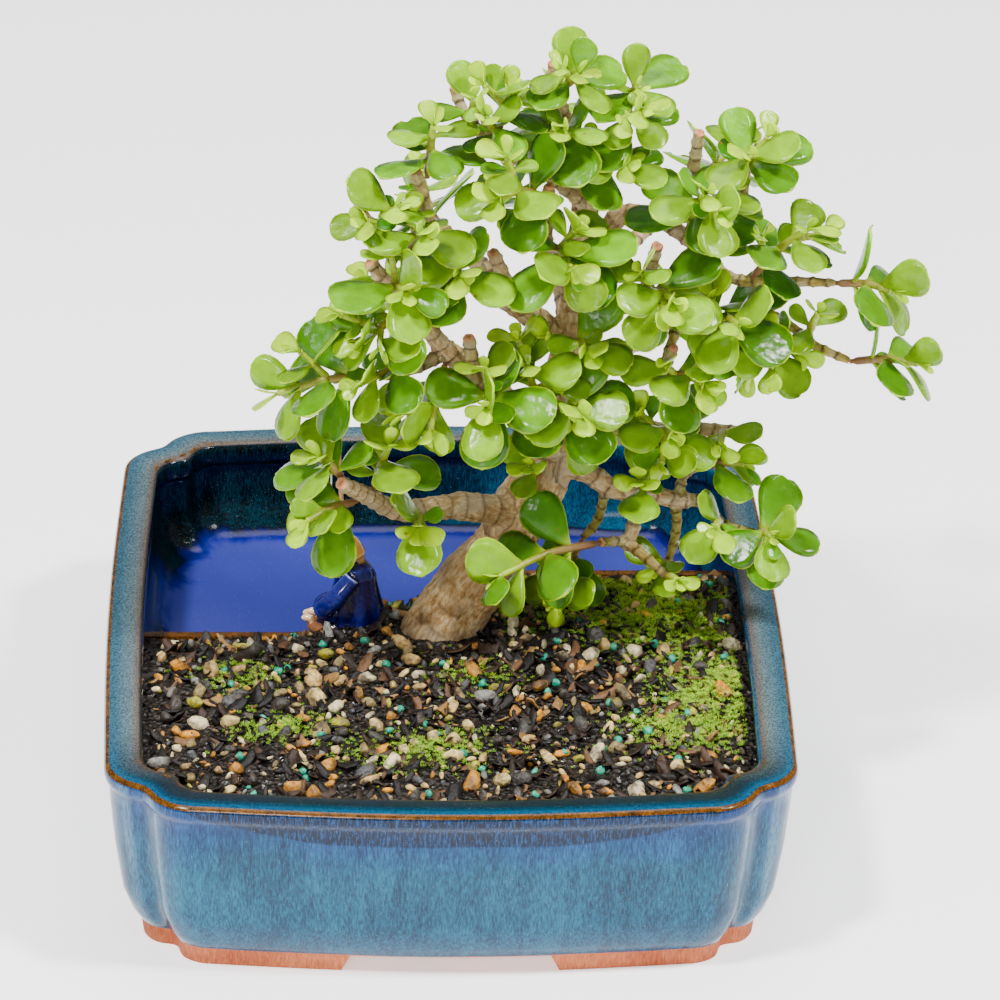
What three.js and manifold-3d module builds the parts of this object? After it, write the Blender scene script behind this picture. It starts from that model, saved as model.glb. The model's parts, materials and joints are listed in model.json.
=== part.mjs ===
import * as THREE from 'three';
import { mergeVertices } from 'three/addons/utils/BufferGeometryUtils.js';
import Module from 'manifold-3d';

// Dwarf jade bonsai in a glazed land and water pot, with a clay fisherman. Millimetres, +Z up.
// Everything is placed from the middle of the pot's underside. The last lines move the whole
// object, so that its origin lies under the middle of the footprint of pot and crown together.

const wasm = await Module();
wasm.setup();

// Driving dimensions of the pot
const POT_HALF_WIDTH = 100;
const POT_HALF_DEPTH = 120;
const POT_HEIGHT = 58.5;
const SIDE_BOW = 2;
const END_BOW = 4.5;
const CORNER_CUT = 27;
const FOOT_HEIGHT = 5.5;
const FOOT_WIDTH = 12;
const FOOT_GAP_FRONT = 58;
const FOOT_GAP_SIDE = 84;
const DRAIN_RADIUS = 7;
const CORNER_NOTCH_REACH = 0.13;
const POT_SIDE_POINTS = 3;
const CORNER_STATIONS = [0, 0.15, 0.36, 0.5, 0.64, 0.85, 1];

// Heights of the compartment floor, of the divider and of the floor under the soil
const WATER_FLOOR = 27.2;
const DIVIDER_TOP = 40;
const DIVIDER_THICKNESS = 3;
const SOIL_FLOOR = 13;
const UNDERSIDE_RECESS = 20;

// The divider runs across the pot and swings back behind the trunk
const DIVIDER_LEFT_Y = 16;
const DIVIDER_RIGHT_Y = 57;
const DIVIDER_SWING = [-48, 32];

// The soil, its mound and what lies on it
const SOIL_LEVEL = 49.5;
const SOIL_DROP = 10;
const SOIL_CELL = 14;
const LARGE_PEBBLES = 14;
const SMALL_PEBBLES = 15;
const PRILLS = 8;

// Clearance left between pieces that touch in the real object
const GAP = 0.35;

// Figure, rod and line
const FIGURE_AT = new THREE.Vector3(-27, 9, 46.5);
const ROD_RADIUS = 0.8;
const ROD_FOOT = new THREE.Vector3(-29.5, 17, 54);
const ROD_TIP = new THREE.Vector3(-33, 17, 115.5);
const LINE_RADIUS = 0.25;
const LINE_ROUTE = [
  [-33, 17, 116.2],
  [-33.9, 17, 116.1],
  [-34.4, 17, 115.2],
  [-34.4, 17, 100],
  [-34.4, 17, 80],
  [-34.2, 17, 66],
  [-33.6, 17, 60],
];

// Leaves of the dwarf jade: thick, widest past the middle, round at the end
const LEAF_HALF_WIDTH = 0.39;
const LEAF_CUP = 0.1;
const LEAF_DROOP = 0.13;
const LEAF_OUTLINE = [[0.34, 0.68], [0.8, 0.92]];
const SMALL_LEAF_OUTLINE = [[0.62, 1]];
const LEAF_ROOT_HALF_WIDTH = 0.95;
const SMALL_LEAF = 7.5;
const LARGEST_TWIST = 1.3;
const LEAF_LEVELLING = 0.55;
const TURN_TO_TIP = 0.35;
const TURN_OUTWARD = 0.25;
const STEM_RADIUS = 1.15;
const NODE_HEIGHT = 1.4;
const CROWN_CENTRE = new THREE.Vector3(35, 8, 160);
const LIGHT = new THREE.Vector3(-0.05, -0.15, 0.9);

// Where the frame's origin lies from the middle of the pot
const ORIGIN_SHIFT = new THREE.Vector3(22, 0, 0);

// Woody parts: centre line points with a radius at each, from the root end to the cut end
const WOOD = {
  trunk: {
    sides: 10,
    route: [
      [-7, -1, 33, 12.6], [-4, 0, 42, 12.2], [-1, 0, 50, 11.2], [8, 2, 65, 9.8], [18, 4, 78, 8.9],
      [23, 6, 89, 8.8], [30, 8, 101, 7.8], [34, 10, 114, 7.2], [37, 12, 139, 6.4], [38, 12, 157, 4.8],
    ],
  },
  lowLeft: { route: [[19, 2, 90, 4.6], [4, -4, 95, 4.2], [-7, -10, 97, 3.4], [-15, -15, 99, 2.8],
    [-23, -22, 107, 2.5], [-32, -34, 118, 2.1]] },
  limbLeft: { route: [[33, 8, 111, 3.6], [13, -8, 135, 3], [-1, -14, 151, 2.8], [-12, -18, 168, 2.5],
    [-20, -20, 177, 2.2], [-24, -22, 184, 2.1]] },
  ringedStub: { route: [[11, -9, 137, 2.2], [8, -14, 141, 2.1], [5, -20, 159, 1.8]] },
  leftMid: { route: [[-1, -14, 151, 2.2], [-10, -18, 148, 1.9], [-20, -22, 147, 1.6]] },
  upperLeft: { route: [[37, 12, 139, 4.6], [20, 2, 159, 3.8], [10, -4, 168, 3.3], [-2, -8, 173, 2.6],
    [-15, -12, 182, 2.3], [-23, -14, 190, 2.2], [-28, -15, 198, 2.1]] },
  orangeStub: { route: [[10, -4, 168, 2.4], [6, -14, 182, 2.2]] },
  orangeStubRight: { route: [[20, 2, 159, 2.4], [12, -4, 179, 1.9]] },
  upperLeftStub: { route: [[-8, -10, 177, 1.9], [-7, -10, 192, 1.9], [-11, -12, 208, 1.9]] },
  lowRight: { route: [[31, 8, 105, 3.8], [43, 4, 102, 3.3], [50, 2, 98, 3], [62, 0, 97, 2.7],
    [70, 0, 95, 2.4], [76, 2, 94, 1.9], [84, 0, 87, 1.5], [94, -2, 85, 1.3]] },
  lowRightTwig: { route: [[48, 2, 99, 1.7], [46, 6, 85, 1.4], [42, 8, 78, 1.2]] },
  knot: { route: [[58, 0, 97, 2.3], [56, -4, 87, 2.1], [54, -5, 81, 2]] },
  knotLeft: { route: [[54, -5, 84, 1.7], [46, -10, 86, 1.4]] },
  knotRight: { route: [[54, -5, 84, 1.9], [61, -8, 79, 1.6], [66, -10, 75, 1.3]] },
  rightTwig: { route: [[69, 0, 95, 1.6], [70, 4, 84, 1.5], [68, 4, 72, 1.1]] },
  rightShoot: { route: [[70, 0, 96, 1.7], [72, 6, 101, 1.5], [78, 8, 103, 1.3]] },
  rightMid: { route: [[35, 10, 115, 2.9], [43, 10, 114, 2.6], [65, 16, 111, 2.2], [79, 18, 110, 2],
    [91, 18, 109, 1.9]] },
  rightLimb: { route: [[38, 12, 153, 4.2], [45, 12, 156, 3.6], [57, 14, 153, 3.1], [69, 16, 147, 2.8],
    [81, 14, 148, 2.4], [97, 12, 151, 1.9]] },
  farLow: { route: [[97, 12, 151, 1.9], [103, 10, 148, 1.6], [108, 8, 144, 1.5], [120, 6, 139, 1.2]] },
  rightRiser: { route: [[38, 12, 157, 3.6], [45, 16, 172, 3.2], [51, 18, 181, 2.9], [61, 16, 181, 2.6],
    [74, 12, 173, 2.2], [82, 8, 166, 1.9], [89, 6, 165, 1.7], [101, 4, 166, 1.5], [114, 1, 167, 1.3]] },
  leader: { route: [[38, 12, 154, 4.4], [39, 14, 171, 3.6], [41, 14, 189, 3], [36, 10, 208, 2.5],
    [30, 4, 225, 2.2], [29, 0, 237, 2.1]] },
  leaderTwig: { route: [[41, 14, 189, 1.9], [44, 8, 198, 1.5]] },
  frontRiser: { route: [[36, 11, 158, 2.8], [28, -2, 180, 2.3], [28, -8, 202, 1.7]] },
  redStub: { route: [[57, 14, 153, 2], [58, 2, 165, 1.9], [60, -8, 183, 1.8]] },
  rightStub: { route: [[69, 16, 147, 1.7], [64, 4, 136, 1.6], [66, -8, 150, 1.6]] },
  topRight: { route: [[41, 14, 189, 2.2], [50, 14, 210, 1.7], [52, 12, 222, 1.4]] },
  topRightStub: { route: [[61, 16, 181, 2.1], [70, 10, 197, 1.8], [72, 4, 214, 1.8]] },
  farRiser: { route: [[74, 12, 173, 1.8], [85, 10, 188, 1.4], [87, 8, 200, 1.2]] },
  topLeft: { route: [[40, 14, 186, 2.3], [27, 8, 199, 2], [14, 4, 208, 1.9], [4, 5, 218, 1.7],
    [0, 6, 227, 1.6]] },
  pinkStub: { route: [[14, 4, 208, 1.7], [7, 0, 224, 1.7]] },
  backLow: { route: [[34, 10, 113, 2.9], [45, 32, 122, 2.3], [62, 52, 124, 1.7]] },
  backLowLeft: { route: [[32, 9, 109, 2.8], [14, 30, 121, 2.2], [-6, 46, 130, 1.7]] },
  backMid: { route: [[37, 12, 139, 3], [34, 34, 150, 2.4], [26, 56, 160, 1.8]] },
  backRight: { route: [[38, 13, 150, 3], [56, 36, 164, 2.3], [74, 54, 172, 1.7]] },
  backTop: { route: [[40, 14, 170, 2.7], [38, 30, 183, 2.1], [33, 41, 190, 1.6]] },
  backTopLeft: { route: [[20, 2, 159, 2.6], [8, 20, 166, 2], [-2, 34, 170, 1.6]] },
};

// Green leafy stems: a point on the wood they grow from, the tip, pairs of leaves, length of the
// largest leaf, and how many short side shoots they may carry
const SPRAYS = [
  { name: 'spray_left_tip', from: [-20, -22, 147], to: [-51, -28, 144], pairs: 4, leaf: 19, shoots: 1 },
  { name: 'spray_low_left_up', from: [-23, -21, 107], to: [-18, -30, 128], pairs: 3, leaf: 18 },
  { name: 'spray_low_left_side', from: [-27, -27, 112], to: [-38, -32, 125], pairs: 3, leaf: 17 },
  { name: 'spray_low_left_end', from: [-24, -23, 108], to: [-42, -37, 107], pairs: 3, leaf: 18 },
  { name: 'spray_low_left_front', from: [-8, -11, 97], to: [-9, -27, 100], pairs: 2, leaf: 19 },
  { name: 'spray_knot_left', from: [46, -10, 86], to: [15, -30, 85], pairs: 4, leaf: 18 },
  { name: 'spray_twig_low', from: [42, 8, 78], to: [33, -12, 67], pairs: 3, leaf: 15 },
  { name: 'spray_knot_right', from: [66, -10, 75], to: [69, -17, 77], pairs: 1, leaf: 14 },
  { name: 'spray_right_twig', from: [68, 4, 72], to: [64, -3, 74], pairs: 2, leaf: 14 },
  { name: 'spray_low_right_top', from: [60, 0, 97], to: [57, -12, 108], pairs: 2, leaf: 17 },
  { name: 'spray_right_shoot', from: [78, 8, 103], to: [90, 7, 104], pairs: 3, leaf: 15 },
  { name: 'spray_low_right_end', from: [94, -2, 85], to: [97, -15, 91], pairs: 4, leaf: 16 },
  { name: 'spray_low_right_front', from: [83, 0, 88], to: [80, -14, 93], pairs: 2, leaf: 17 },
  { name: 'spray_right_mid', from: [63, 16, 111], to: [67, -4, 119], pairs: 3, leaf: 18, shoots: 2 },
  { name: 'spray_right_mid_end', from: [84, 18, 110], to: [82, 0, 114], pairs: 2, leaf: 15 },
  { name: 'spray_front_centre', from: [34, 10, 117], to: [37, -24, 137], pairs: 4, leaf: 19, shoots: 2 },
  { name: 'spray_front_left', from: [13, -8, 135], to: [10, -34, 143], pairs: 4, leaf: 19, shoots: 2 },
  { name: 'spray_front_low', from: [-1, -14, 150], to: [-6, -31, 134], pairs: 3, leaf: 19, shoots: 1 },
  { name: 'spray_front_upper', from: [28, 0, 120], to: [22, -20, 150], pairs: 4, leaf: 18, shoots: 2 },
  { name: 'spray_trunk_middle', from: [37, 12, 142], to: [40, -16, 153], pairs: 3, leaf: 18, shoots: 2 },
  { name: 'spray_trunk_low', from: [28, 7, 98], to: [24, -13, 113], pairs: 2, leaf: 15 },
  { name: 'spray_stub_left', from: [-18, -19, 175], to: [-14, -34, 180], pairs: 3, leaf: 19, shoots: 1 },
  { name: 'spray_left_inner', from: [-11, -18, 167], to: [-26, -31, 162], pairs: 3, leaf: 18, shoots: 2 },
  { name: 'spray_left_under', from: [-8, -17, 149], to: [-27, -34, 150], pairs: 3, leaf: 17, shoots: 1 },
  { name: 'spray_upper_left_front', from: [0, -7, 172], to: [2, -28, 183], pairs: 3, leaf: 19, shoots: 2 },
  { name: 'spray_upper_left', from: [-13, -11, 181], to: [-9, -28, 196], pairs: 3, leaf: 19, shoots: 2 },
  { name: 'spray_upper_left_end', from: [-22, -14, 189], to: [-16, -26, 203], pairs: 3, leaf: 18, shoots: 1 },
  { name: 'spray_upper_left_top', from: [-8, -10, 200], to: [-6, -14, 223], pairs: 4, leaf: 15 },
  { name: 'spray_lime_upright', from: [14, 4, 208], to: [9, -14, 226], pairs: 4, leaf: 14 },
  { name: 'spray_front_riser', from: [28, -7, 198], to: [13, -30, 208], pairs: 3, leaf: 19, shoots: 2 },
  { name: 'spray_top_left', from: [5, 4, 216], to: [6, -10, 230], pairs: 3, leaf: 13 },
  { name: 'spray_top_left_inner', from: [12, 4, 209], to: [16, -5, 229], pairs: 4, leaf: 16, shoots: 1 },
  { name: 'spray_top', from: [30, 3, 226], to: [36, -4, 235], pairs: 3, leaf: 16, shoots: 1 },
  { name: 'spray_top_right', from: [52, 12, 222], to: [54, 8, 226], pairs: 3, leaf: 16, shoots: 1 },
  { name: 'spray_top_right_front', from: [49, 14, 208], to: [54, -4, 224], pairs: 3, leaf: 18, shoots: 3 },
  { name: 'spray_top_front', from: [38, 12, 204], to: [31, -12, 222], pairs: 4, leaf: 17, shoots: 2 },
  { name: 'spray_front_inner', from: [29, -2, 181], to: [34, -24, 183], pairs: 4, leaf: 19, shoots: 3 },
  { name: 'spray_leader_twig', from: [44, 8, 198], to: [50, -6, 208], pairs: 3, leaf: 17, shoots: 2 },
  { name: 'spray_right_riser', from: [70, 13, 176], to: [73, -13, 202], pairs: 4, leaf: 19, shoots: 2 },
  { name: 'spray_far_riser', from: [87, 8, 200], to: [86, -4, 210], pairs: 4, leaf: 18, shoots: 1 },
  { name: 'spray_far_right', from: [88, 6, 165], to: [104, -5, 187], pairs: 4, leaf: 17, shoots: 2 },
  { name: 'spray_red_stub', from: [58, 4, 163], to: [64, -22, 172], pairs: 3, leaf: 19, shoots: 2 },
  { name: 'spray_right_front', from: [80, 14, 148], to: [84, -18, 162], pairs: 4, leaf: 19, shoots: 2 },
  { name: 'spray_right_stub', from: [64, 4, 136], to: [74, -18, 143], pairs: 3, leaf: 18, shoots: 2 },
  { name: 'spray_far_low', from: [120, 6, 139], to: [140, 0, 141], pairs: 4, leaf: 15 },
  { name: 'spray_far_low_inner', from: [107, 9, 145], to: [109, 1, 157], pairs: 2, leaf: 14 },
  { name: 'spray_far_up', from: [114, 1, 167], to: [130, -4, 167], pairs: 4, leaf: 17 },
  { name: 'spray_right_under', from: [96, 12, 151], to: [95, -8, 143], pairs: 3, leaf: 18, shoots: 2 },
  { name: 'spray_back_low', from: [62, 52, 124], to: [80, 62, 134], pairs: 4, leaf: 18, shoots: 1 },
  { name: 'spray_back_low_left', from: [-6, 46, 130], to: [-24, 54, 142], pairs: 4, leaf: 18, shoots: 1 },
  { name: 'spray_back_mid', from: [26, 56, 160], to: [20, 72, 174], pairs: 4, leaf: 18, shoots: 1 },
  { name: 'spray_back_right', from: [74, 54, 172], to: [90, 62, 186], pairs: 4, leaf: 18, shoots: 1 },
  { name: 'spray_back_top', from: [33, 41, 190], to: [28, 50, 200], pairs: 4, leaf: 18, shoots: 1 },
  { name: 'spray_back_top_left', from: [-2, 34, 170], to: [-10, 43, 175], pairs: 4, leaf: 18, shoots: 1 },
];

// A repeatable stream of numbers from 0 to 1
function seededRandom(seed) {
  let state = seed >>> 0;
  return () => {
    state = (state + 0x6d2b79f5) >>> 0;
    let t = state;
    t = Math.imul(t ^ (t >>> 15), t | 1);
    t ^= t + Math.imul(t ^ (t >>> 7), t | 61);
    return ((t ^ (t >>> 14)) >>> 0) / 4294967296;
  };
}

function smoothstep(low, high, value) {
  const t = Math.min(1, Math.max(0, (value - low) / (high - low)));
  return t * t * (3 - 2 * t);
}

function vector(point) {
  return new THREE.Vector3(point[0], point[1], point[2]);
}

// Closed mesh to solid, and back
function toSolid(geometry) {
  const bare = geometry.clone();
  bare.deleteAttribute('normal');
  bare.deleteAttribute('uv');
  const merged = mergeVertices(bare, 1e-4);
  return new wasm.Manifold(new wasm.Mesh({
    numProp: 3,
    vertProperties: Float32Array.from(merged.attributes.position.array),
    triVerts: Uint32Array.from(merged.index.array),
  }));
}

function toMesh(name, solid, material) {
  const data = solid.getMesh();
  const geometry = new THREE.BufferGeometry();
  geometry.setAttribute('position', new THREE.BufferAttribute(Float32Array.from(data.vertProperties), 3));
  geometry.setIndex(new THREE.BufferAttribute(Uint32Array.from(data.triVerts), 1));
  geometry.computeVertexNormals();
  const mesh = new THREE.Mesh(geometry, material);
  mesh.name = name;
  return mesh;
}

function material(color, roughness, metalness = 0) {
  return new THREE.MeshStandardMaterial({ color, roughness, metalness, flatShading: true });
}

// A closed skin over a stack of rings with the same number of points, flat at both ends
function loft(rings) {
  const count = rings[0].length;
  const points = rings.flat();
  const index = [];
  for (let r = 0; r < rings.length - 1; r++) {
    for (let i = 0; i < count; i++) {
      const a = r * count + i;
      const b = r * count + (i + 1) % count;
      index.push(a, b, b + count, a, b + count, a + count);
    }
  }
  const top = (rings.length - 1) * count;
  const centres = [rings[0], rings[rings.length - 1]].map((ring) => ring
    .reduce((sum, p) => sum.add(p), new THREE.Vector3()).divideScalar(count));
  for (let i = 0; i < count; i++) {
    const j = (i + 1) % count;
    index.push(points.length, j, i, points.length + 1, top + i, top + j);
  }
  const geometry = new THREE.BufferGeometry().setFromPoints([...points, ...centres]);
  geometry.setIndex(index);
  return geometry;
}

// Pot: plan outline at one height, inset from the rim's edge, with cut and notched corners
function potOutline(inset, notch, z) {
  const a = POT_HALF_WIDTH - inset;
  const b = POT_HALF_DEPTH - inset;
  const cut = CORNER_CUT - inset * (2 - Math.SQRT2);
  const corner = (s) => {
    const swell = cut * Math.SQRT2 / 8 * (1 - (2 * s - 1) ** 4);
    const groove = notch * Math.exp(-(((s - 0.5) / CORNER_NOTCH_REACH) ** 2));
    const out = (swell - groove) / Math.SQRT2;
    return [a - cut * s + out, b - cut * (1 - s) + out];
  };
  const forward = CORNER_STATIONS.map(corner);
  const backward = [...forward].reverse();
  const side = (from, to, bowX, bowY) => Array.from({ length: POT_SIDE_POINTS }, (_, i) => {
    const t = (i + 1) / (POT_SIDE_POINTS + 1);
    const bow = Math.cos((t - 0.5) * Math.PI);
    return [from[0] + (to[0] - from[0]) * t + bowX * bow, from[1] + (to[1] - from[1]) * t + bowY * bow];
  });
  const quarters = [
    forward,
    backward.map(([x, y]) => [-x, y]),
    forward.map(([x, y]) => [-x, -y]),
    backward.map(([x, y]) => [x, -y]),
  ];
  const bows = [[0, END_BOW], [-SIDE_BOW, 0], [0, -END_BOW], [SIDE_BOW, 0]];
  const outline = quarters.flatMap((quarter, k) => {
    const next = quarters[(k + 1) % quarters.length];
    return [...quarter, ...side(quarter[quarter.length - 1], next[0], ...bows[k])];
  });
  return outline.map(([x, y]) => new THREE.Vector3(x, y, z));
}

function potLoft(rows, extraInset = 0) {
  return toSolid(loft(rows.map(([z, inset, notch]) => potOutline(inset + extraInset, notch, z))));
}

// Wall profiles: height, inset from the rim's edge, depth of the corner notch
const OUTER_ROWS = [
  [0, 10.6, 3], [FOOT_HEIGHT, 10, 3], [FOOT_HEIGHT + 0.8, 9.2, 3], [10, 7.2, 2.8], [17, 4.8, 2.4],
  [32, 2.8, 2.2], [53, 1.2, 1.8], [54.2, 0.1, 1.8], [57, 0, 1.8], [POT_HEIGHT, 1.2, 1.8],
];
const LIP_ROWS = [
  [50, 8.6, 2.6], [51.6, 11.2, 2.8], [57.4, 11.2, 2.8], [POT_HEIGHT, 10, 2.8], [60, 8.4, 2.8],
];
const WATER_ROWS = [[WATER_FLOOR, 21, 2], [28.4, 17, 2], [32, 13, 2.2], [40, 10, 2.4], ...LIP_ROWS];
const SOIL_ROWS = [[SOIL_FLOOR, 16, 2], [40, 10, 2.4], ...LIP_ROWS];

// The divider's middle line, seen from above
function dividerY(x) {
  return DIVIDER_LEFT_Y + (DIVIDER_RIGHT_Y - DIVIDER_LEFT_Y) * smoothstep(...DIVIDER_SWING, x);
}

// A plan region before (side -1) or behind (side 1) a line that follows the divider, as an upright block
function dividerRegion(side, offset, low, high) {
  const reach = 140;
  const stations = [-reach, ...Array.from({ length: 13 }, (_, i) => -60 + i * 8.5), reach];
  const shape = new THREE.Shape();
  shape.moveTo(-reach, side * reach);
  stations.forEach((x) => shape.lineTo(x, dividerY(x) + side * offset));
  shape.lineTo(reach, side * reach);
  const block = new THREE.ExtrudeGeometry(shape, { depth: high - low, bevelEnabled: false });
  block.translate(0, 0, low);
  return toSolid(block);
}

// A gap between two feet, with slanted ends, cut along one axis
function footGap(width, reach, alongX) {
  const slant = 3;
  const shape = new THREE.Shape();
  shape.moveTo(-width / 2 - slant, -1);
  shape.lineTo(width / 2 + slant, -1);
  shape.lineTo(width / 2, FOOT_HEIGHT);
  shape.lineTo(-width / 2, FOOT_HEIGHT);
  const cut = new THREE.ExtrudeGeometry(shape, { depth: 2 * reach, bevelEnabled: false });
  cut.rotateX(Math.PI / 2);
  cut.translate(0, reach, 0);
  if (alongX) cut.rotateZ(Math.PI / 2);
  return toSolid(cut);
}

function potSolid() {
  const halfWall = DIVIDER_THICKNESS / 2;
  const reach = 150;
  const soilRoom = potLoft(SOIL_ROWS).intersect(dividerRegion(-1, halfWall, 0, DIVIDER_TOP));
  const waterRoom = potLoft(WATER_ROWS).intersect(dividerRegion(1, halfWall, 0, DIVIDER_TOP));
  const above = potLoft(WATER_ROWS).intersect(toSolid(
    new THREE.BoxGeometry(2 * reach, 2 * reach, reach).translate(0, 0, DIVIDER_TOP + reach / 2)));
  const underFloor = potLoft([[-1, 10.6 + FOOT_WIDTH, 2], [FOOT_HEIGHT, 10.6 + FOOT_WIDTH, 2]]);
  const recess = potLoft([[0, 24, 2], [UNDERSIDE_RECESS, 29, 2]])
    .intersect(dividerRegion(1, 8, -1, UNDERSIDE_RECESS));
  let pot = potLoft(OUTER_ROWS);
  [soilRoom, waterRoom, above, underFloor, recess].forEach((room) => {
    pot = pot.subtract(room);
  });
  pot = pot.subtract(footGap(FOOT_GAP_FRONT, reach, false));
  pot = pot.subtract(footGap(FOOT_GAP_SIDE, reach, true));
  [-1, 1].forEach((side) => {
    const drain = new THREE.CylinderGeometry(DRAIN_RADIUS, DRAIN_RADIUS, 30, 16);
    drain.rotateX(Math.PI / 2);
    drain.translate(side * 45, -55, 8);
    pot = pot.subtract(toSolid(drain));
  });
  return pot;
}

// Height of the soil: a mound round the trunk that falls away to the divider and a little to the rim
function soilHeight(x, y) {
  const toDivider = dividerY(x) - y;
  const heldByFigure = Math.exp(-(((x - FIGURE_AT.x) / 13) ** 2));
  const reach = 30 - 22 * heldByFigure;
  const drop = (SOIL_DROP - 2 * heldByFigure) * (1 - smoothstep(1, reach, toDivider));
  const mound = 3 * Math.exp(-((x + 2) ** 2 + (y + 4) ** 2) / 1500);
  const ripple = 0.7 * Math.sin(x * 0.11 + 1) * Math.cos(y * 0.09) + 0.4 * Math.sin(x * 0.23 - y * 0.19);
  return SOIL_LEVEL + mound + ripple - drop;
}

// A block with the soil's surface on top
function soilBlock() {
  const columns = Math.round(2 * POT_HALF_WIDTH / SOIL_CELL);
  const rows = Math.round((POT_HALF_DEPTH + 72) / SOIL_CELL);
  const block = new THREE.BoxGeometry(2 * POT_HALF_WIDTH, POT_HALF_DEPTH + 72, 1, columns, rows, 1);
  block.translate(0, (72 - POT_HALF_DEPTH) / 2, 0);
  const position = block.attributes.position;
  for (let i = 0; i < position.count; i++) {
    const high = position.getZ(i) > 0;
    position.setZ(i, high ? soilHeight(position.getX(i), position.getY(i)) : 0);
  }
  return toSolid(block);
}

// Loose stones and fertiliser prills, half sunk in the soil
function scatteredStones() {
  const random = seededRandom(21);
  const stones = [];
  const taken = [];
  const scatter = (count, smallest, largest, shape) => {
    for (let placed = 0, tries = 0; placed < count && tries < 4000; tries++) {
      const radius = smallest + (largest - smallest) * random() ** 2;
      const x = (2 * random() - 1) * (POT_HALF_WIDTH - 22);
      const y = -POT_HALF_DEPTH + 22 + random() * (POT_HALF_DEPTH + 28);
      const turn = [random() * 3, random() * 3, random() * 6];
      const clearOfDivider = dividerY(x) - y > 16;
      const clearOfTrunk = Math.hypot(x, y) > 17;
      const clearOfFigure = Math.hypot(x - FIGURE_AT.x + 4, y - FIGURE_AT.y) > 19;
      const clearOfOthers = taken.every((t) => Math.hypot(t[0] - x, t[1] - y) > t[2] + radius + 0.8);
      if (!(clearOfDivider && clearOfTrunk && clearOfFigure && clearOfOthers)) continue;
      const stone = shape(radius);
      stone.scale(1, 0.85, 0.72);
      stone.rotateX(turn[0]);
      stone.rotateY(turn[1]);
      stone.rotateZ(turn[2]);
      stone.translate(x, y, soilHeight(x, y) - 0.3);
      stones.push(toSolid(stone));
      taken.push([x, y, radius]);
      placed++;
    }
  };
  scatter(LARGE_PEBBLES, 3.4, 5.4, (radius) => new THREE.IcosahedronGeometry(radius));
  scatter(SMALL_PEBBLES, 2.4, 3.4, (radius) => new THREE.OctahedronGeometry(radius));
  scatter(PRILLS, 1.7, 1.9, (radius) => new THREE.OctahedronGeometry(radius));
  return stones;
}

// The trunk's own route, thickened, is the plain hole that it stands in
function soilSolid() {
  const rows = SOIL_ROWS.slice(0, 5).map(([z, inset, notch], i) => [i ? z : z + GAP, inset, notch]);
  const room = potLoft(rows, GAP)
    .intersect(dividerRegion(-1, DIVIDER_THICKNESS / 2 + GAP, 0, 60));
  const { route, sides } = WOOD.trunk;
  const hole = route.map(([x, y, z, r], i) => [x, y, i ? z : z - GAP, r + 1.4 * GAP]);
  let soil = room.intersect(soilBlock());
  soil = wasm.Manifold.union([soil, ...scatteredStones()]);
  const seat = new THREE.CylinderGeometry(14, 14, 20, 20);
  seat.rotateX(Math.PI / 2);
  seat.scale(1, 0.75, 1);
  seat.translate(FIGURE_AT.x - 4, FIGURE_AT.y - 1.5, FIGURE_AT.z - GAP + 10);
  soil = soil.subtract(toSolid(seat));
  return soil.subtract(toSolid(taperedTube(hole, sides, woodSteps(hole))));
}

// A round bar along a smooth curve, with a radius at each of the curve's points
function routeFrames(route, steps) {
  const curve = new THREE.CatmullRomCurve3(route.map(vector), false, 'centripetal');
  const { tangents, normals, binormals } = curve.computeFrenetFrames(steps);
  return Array.from({ length: steps + 1 }, (_, i) => {
    const along = curve.getUtoTmapping(i / steps) * (route.length - 1);
    const k = Math.min(route.length - 2, Math.floor(along));
    const radius = route[k][3] + (route[k + 1][3] - route[k][3]) * (along - k);
    const at = curve.getPointAt(i / steps);
    return { at, radius, tangent: tangents[i], normal: normals[i], binormal: binormals[i] };
  });
}

function taperedTube(route, sides, steps) {
  const swell = 1 + 1.1 / (sides * sides);
  return loft(routeFrames(route, steps).map((frame) => Array.from({ length: sides }, (_, i) => {
    const angle = 2 * Math.PI * i / sides;
    return frame.at.clone()
      .addScaledVector(frame.normal, Math.cos(angle) * frame.radius * swell)
      .addScaledVector(frame.binormal, Math.sin(angle) * frame.radius * swell);
  })));
}

function woodSteps(route) {
  return Math.max(2, Math.round(1.1 * (route.length - 1)));
}

function trunkSolid() {
  const parts = Object.values(WOOD).map(({ route, sides }) => {
    const corners = sides ?? (route[0][3] < 2 ? 4 : 5);
    return toSolid(taperedTube(route, corners, woodSteps(route)));
  });
  return wasm.Manifold.union(parts);
}

// What the leaves must stay clear of: round bars, and the leaves already placed
const bars = [];
const leaves = [];

function addBar(from, to, radiusFrom, radiusTo) {
  bars.push({ from, to, radiusFrom, radiusTo });
}

function addRouteBars(route, steps) {
  const frames = routeFrames(route, steps);
  for (let i = 0; i < steps; i++) {
    addBar(frames[i].at, frames[i + 1].at, frames[i].radius, frames[i + 1].radius);
  }
}

// Distance from a point to the surface of a bar with flat ends
function barDistance(point, bar) {
  const along = bar.to.clone().sub(bar.from);
  const offset = point.clone().sub(bar.from);
  const t = offset.dot(along) / along.lengthSq();
  const nearest = Math.min(1, Math.max(0, t));
  const beyond = Math.abs(t - nearest) * along.length();
  const radius = bar.radiusFrom + (bar.radiusTo - bar.radiusFrom) * nearest;
  const outside = offset.addScaledVector(along, -t).length() - radius;
  return beyond > 0 ? Math.hypot(beyond, Math.max(0, outside)) : outside;
}

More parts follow.
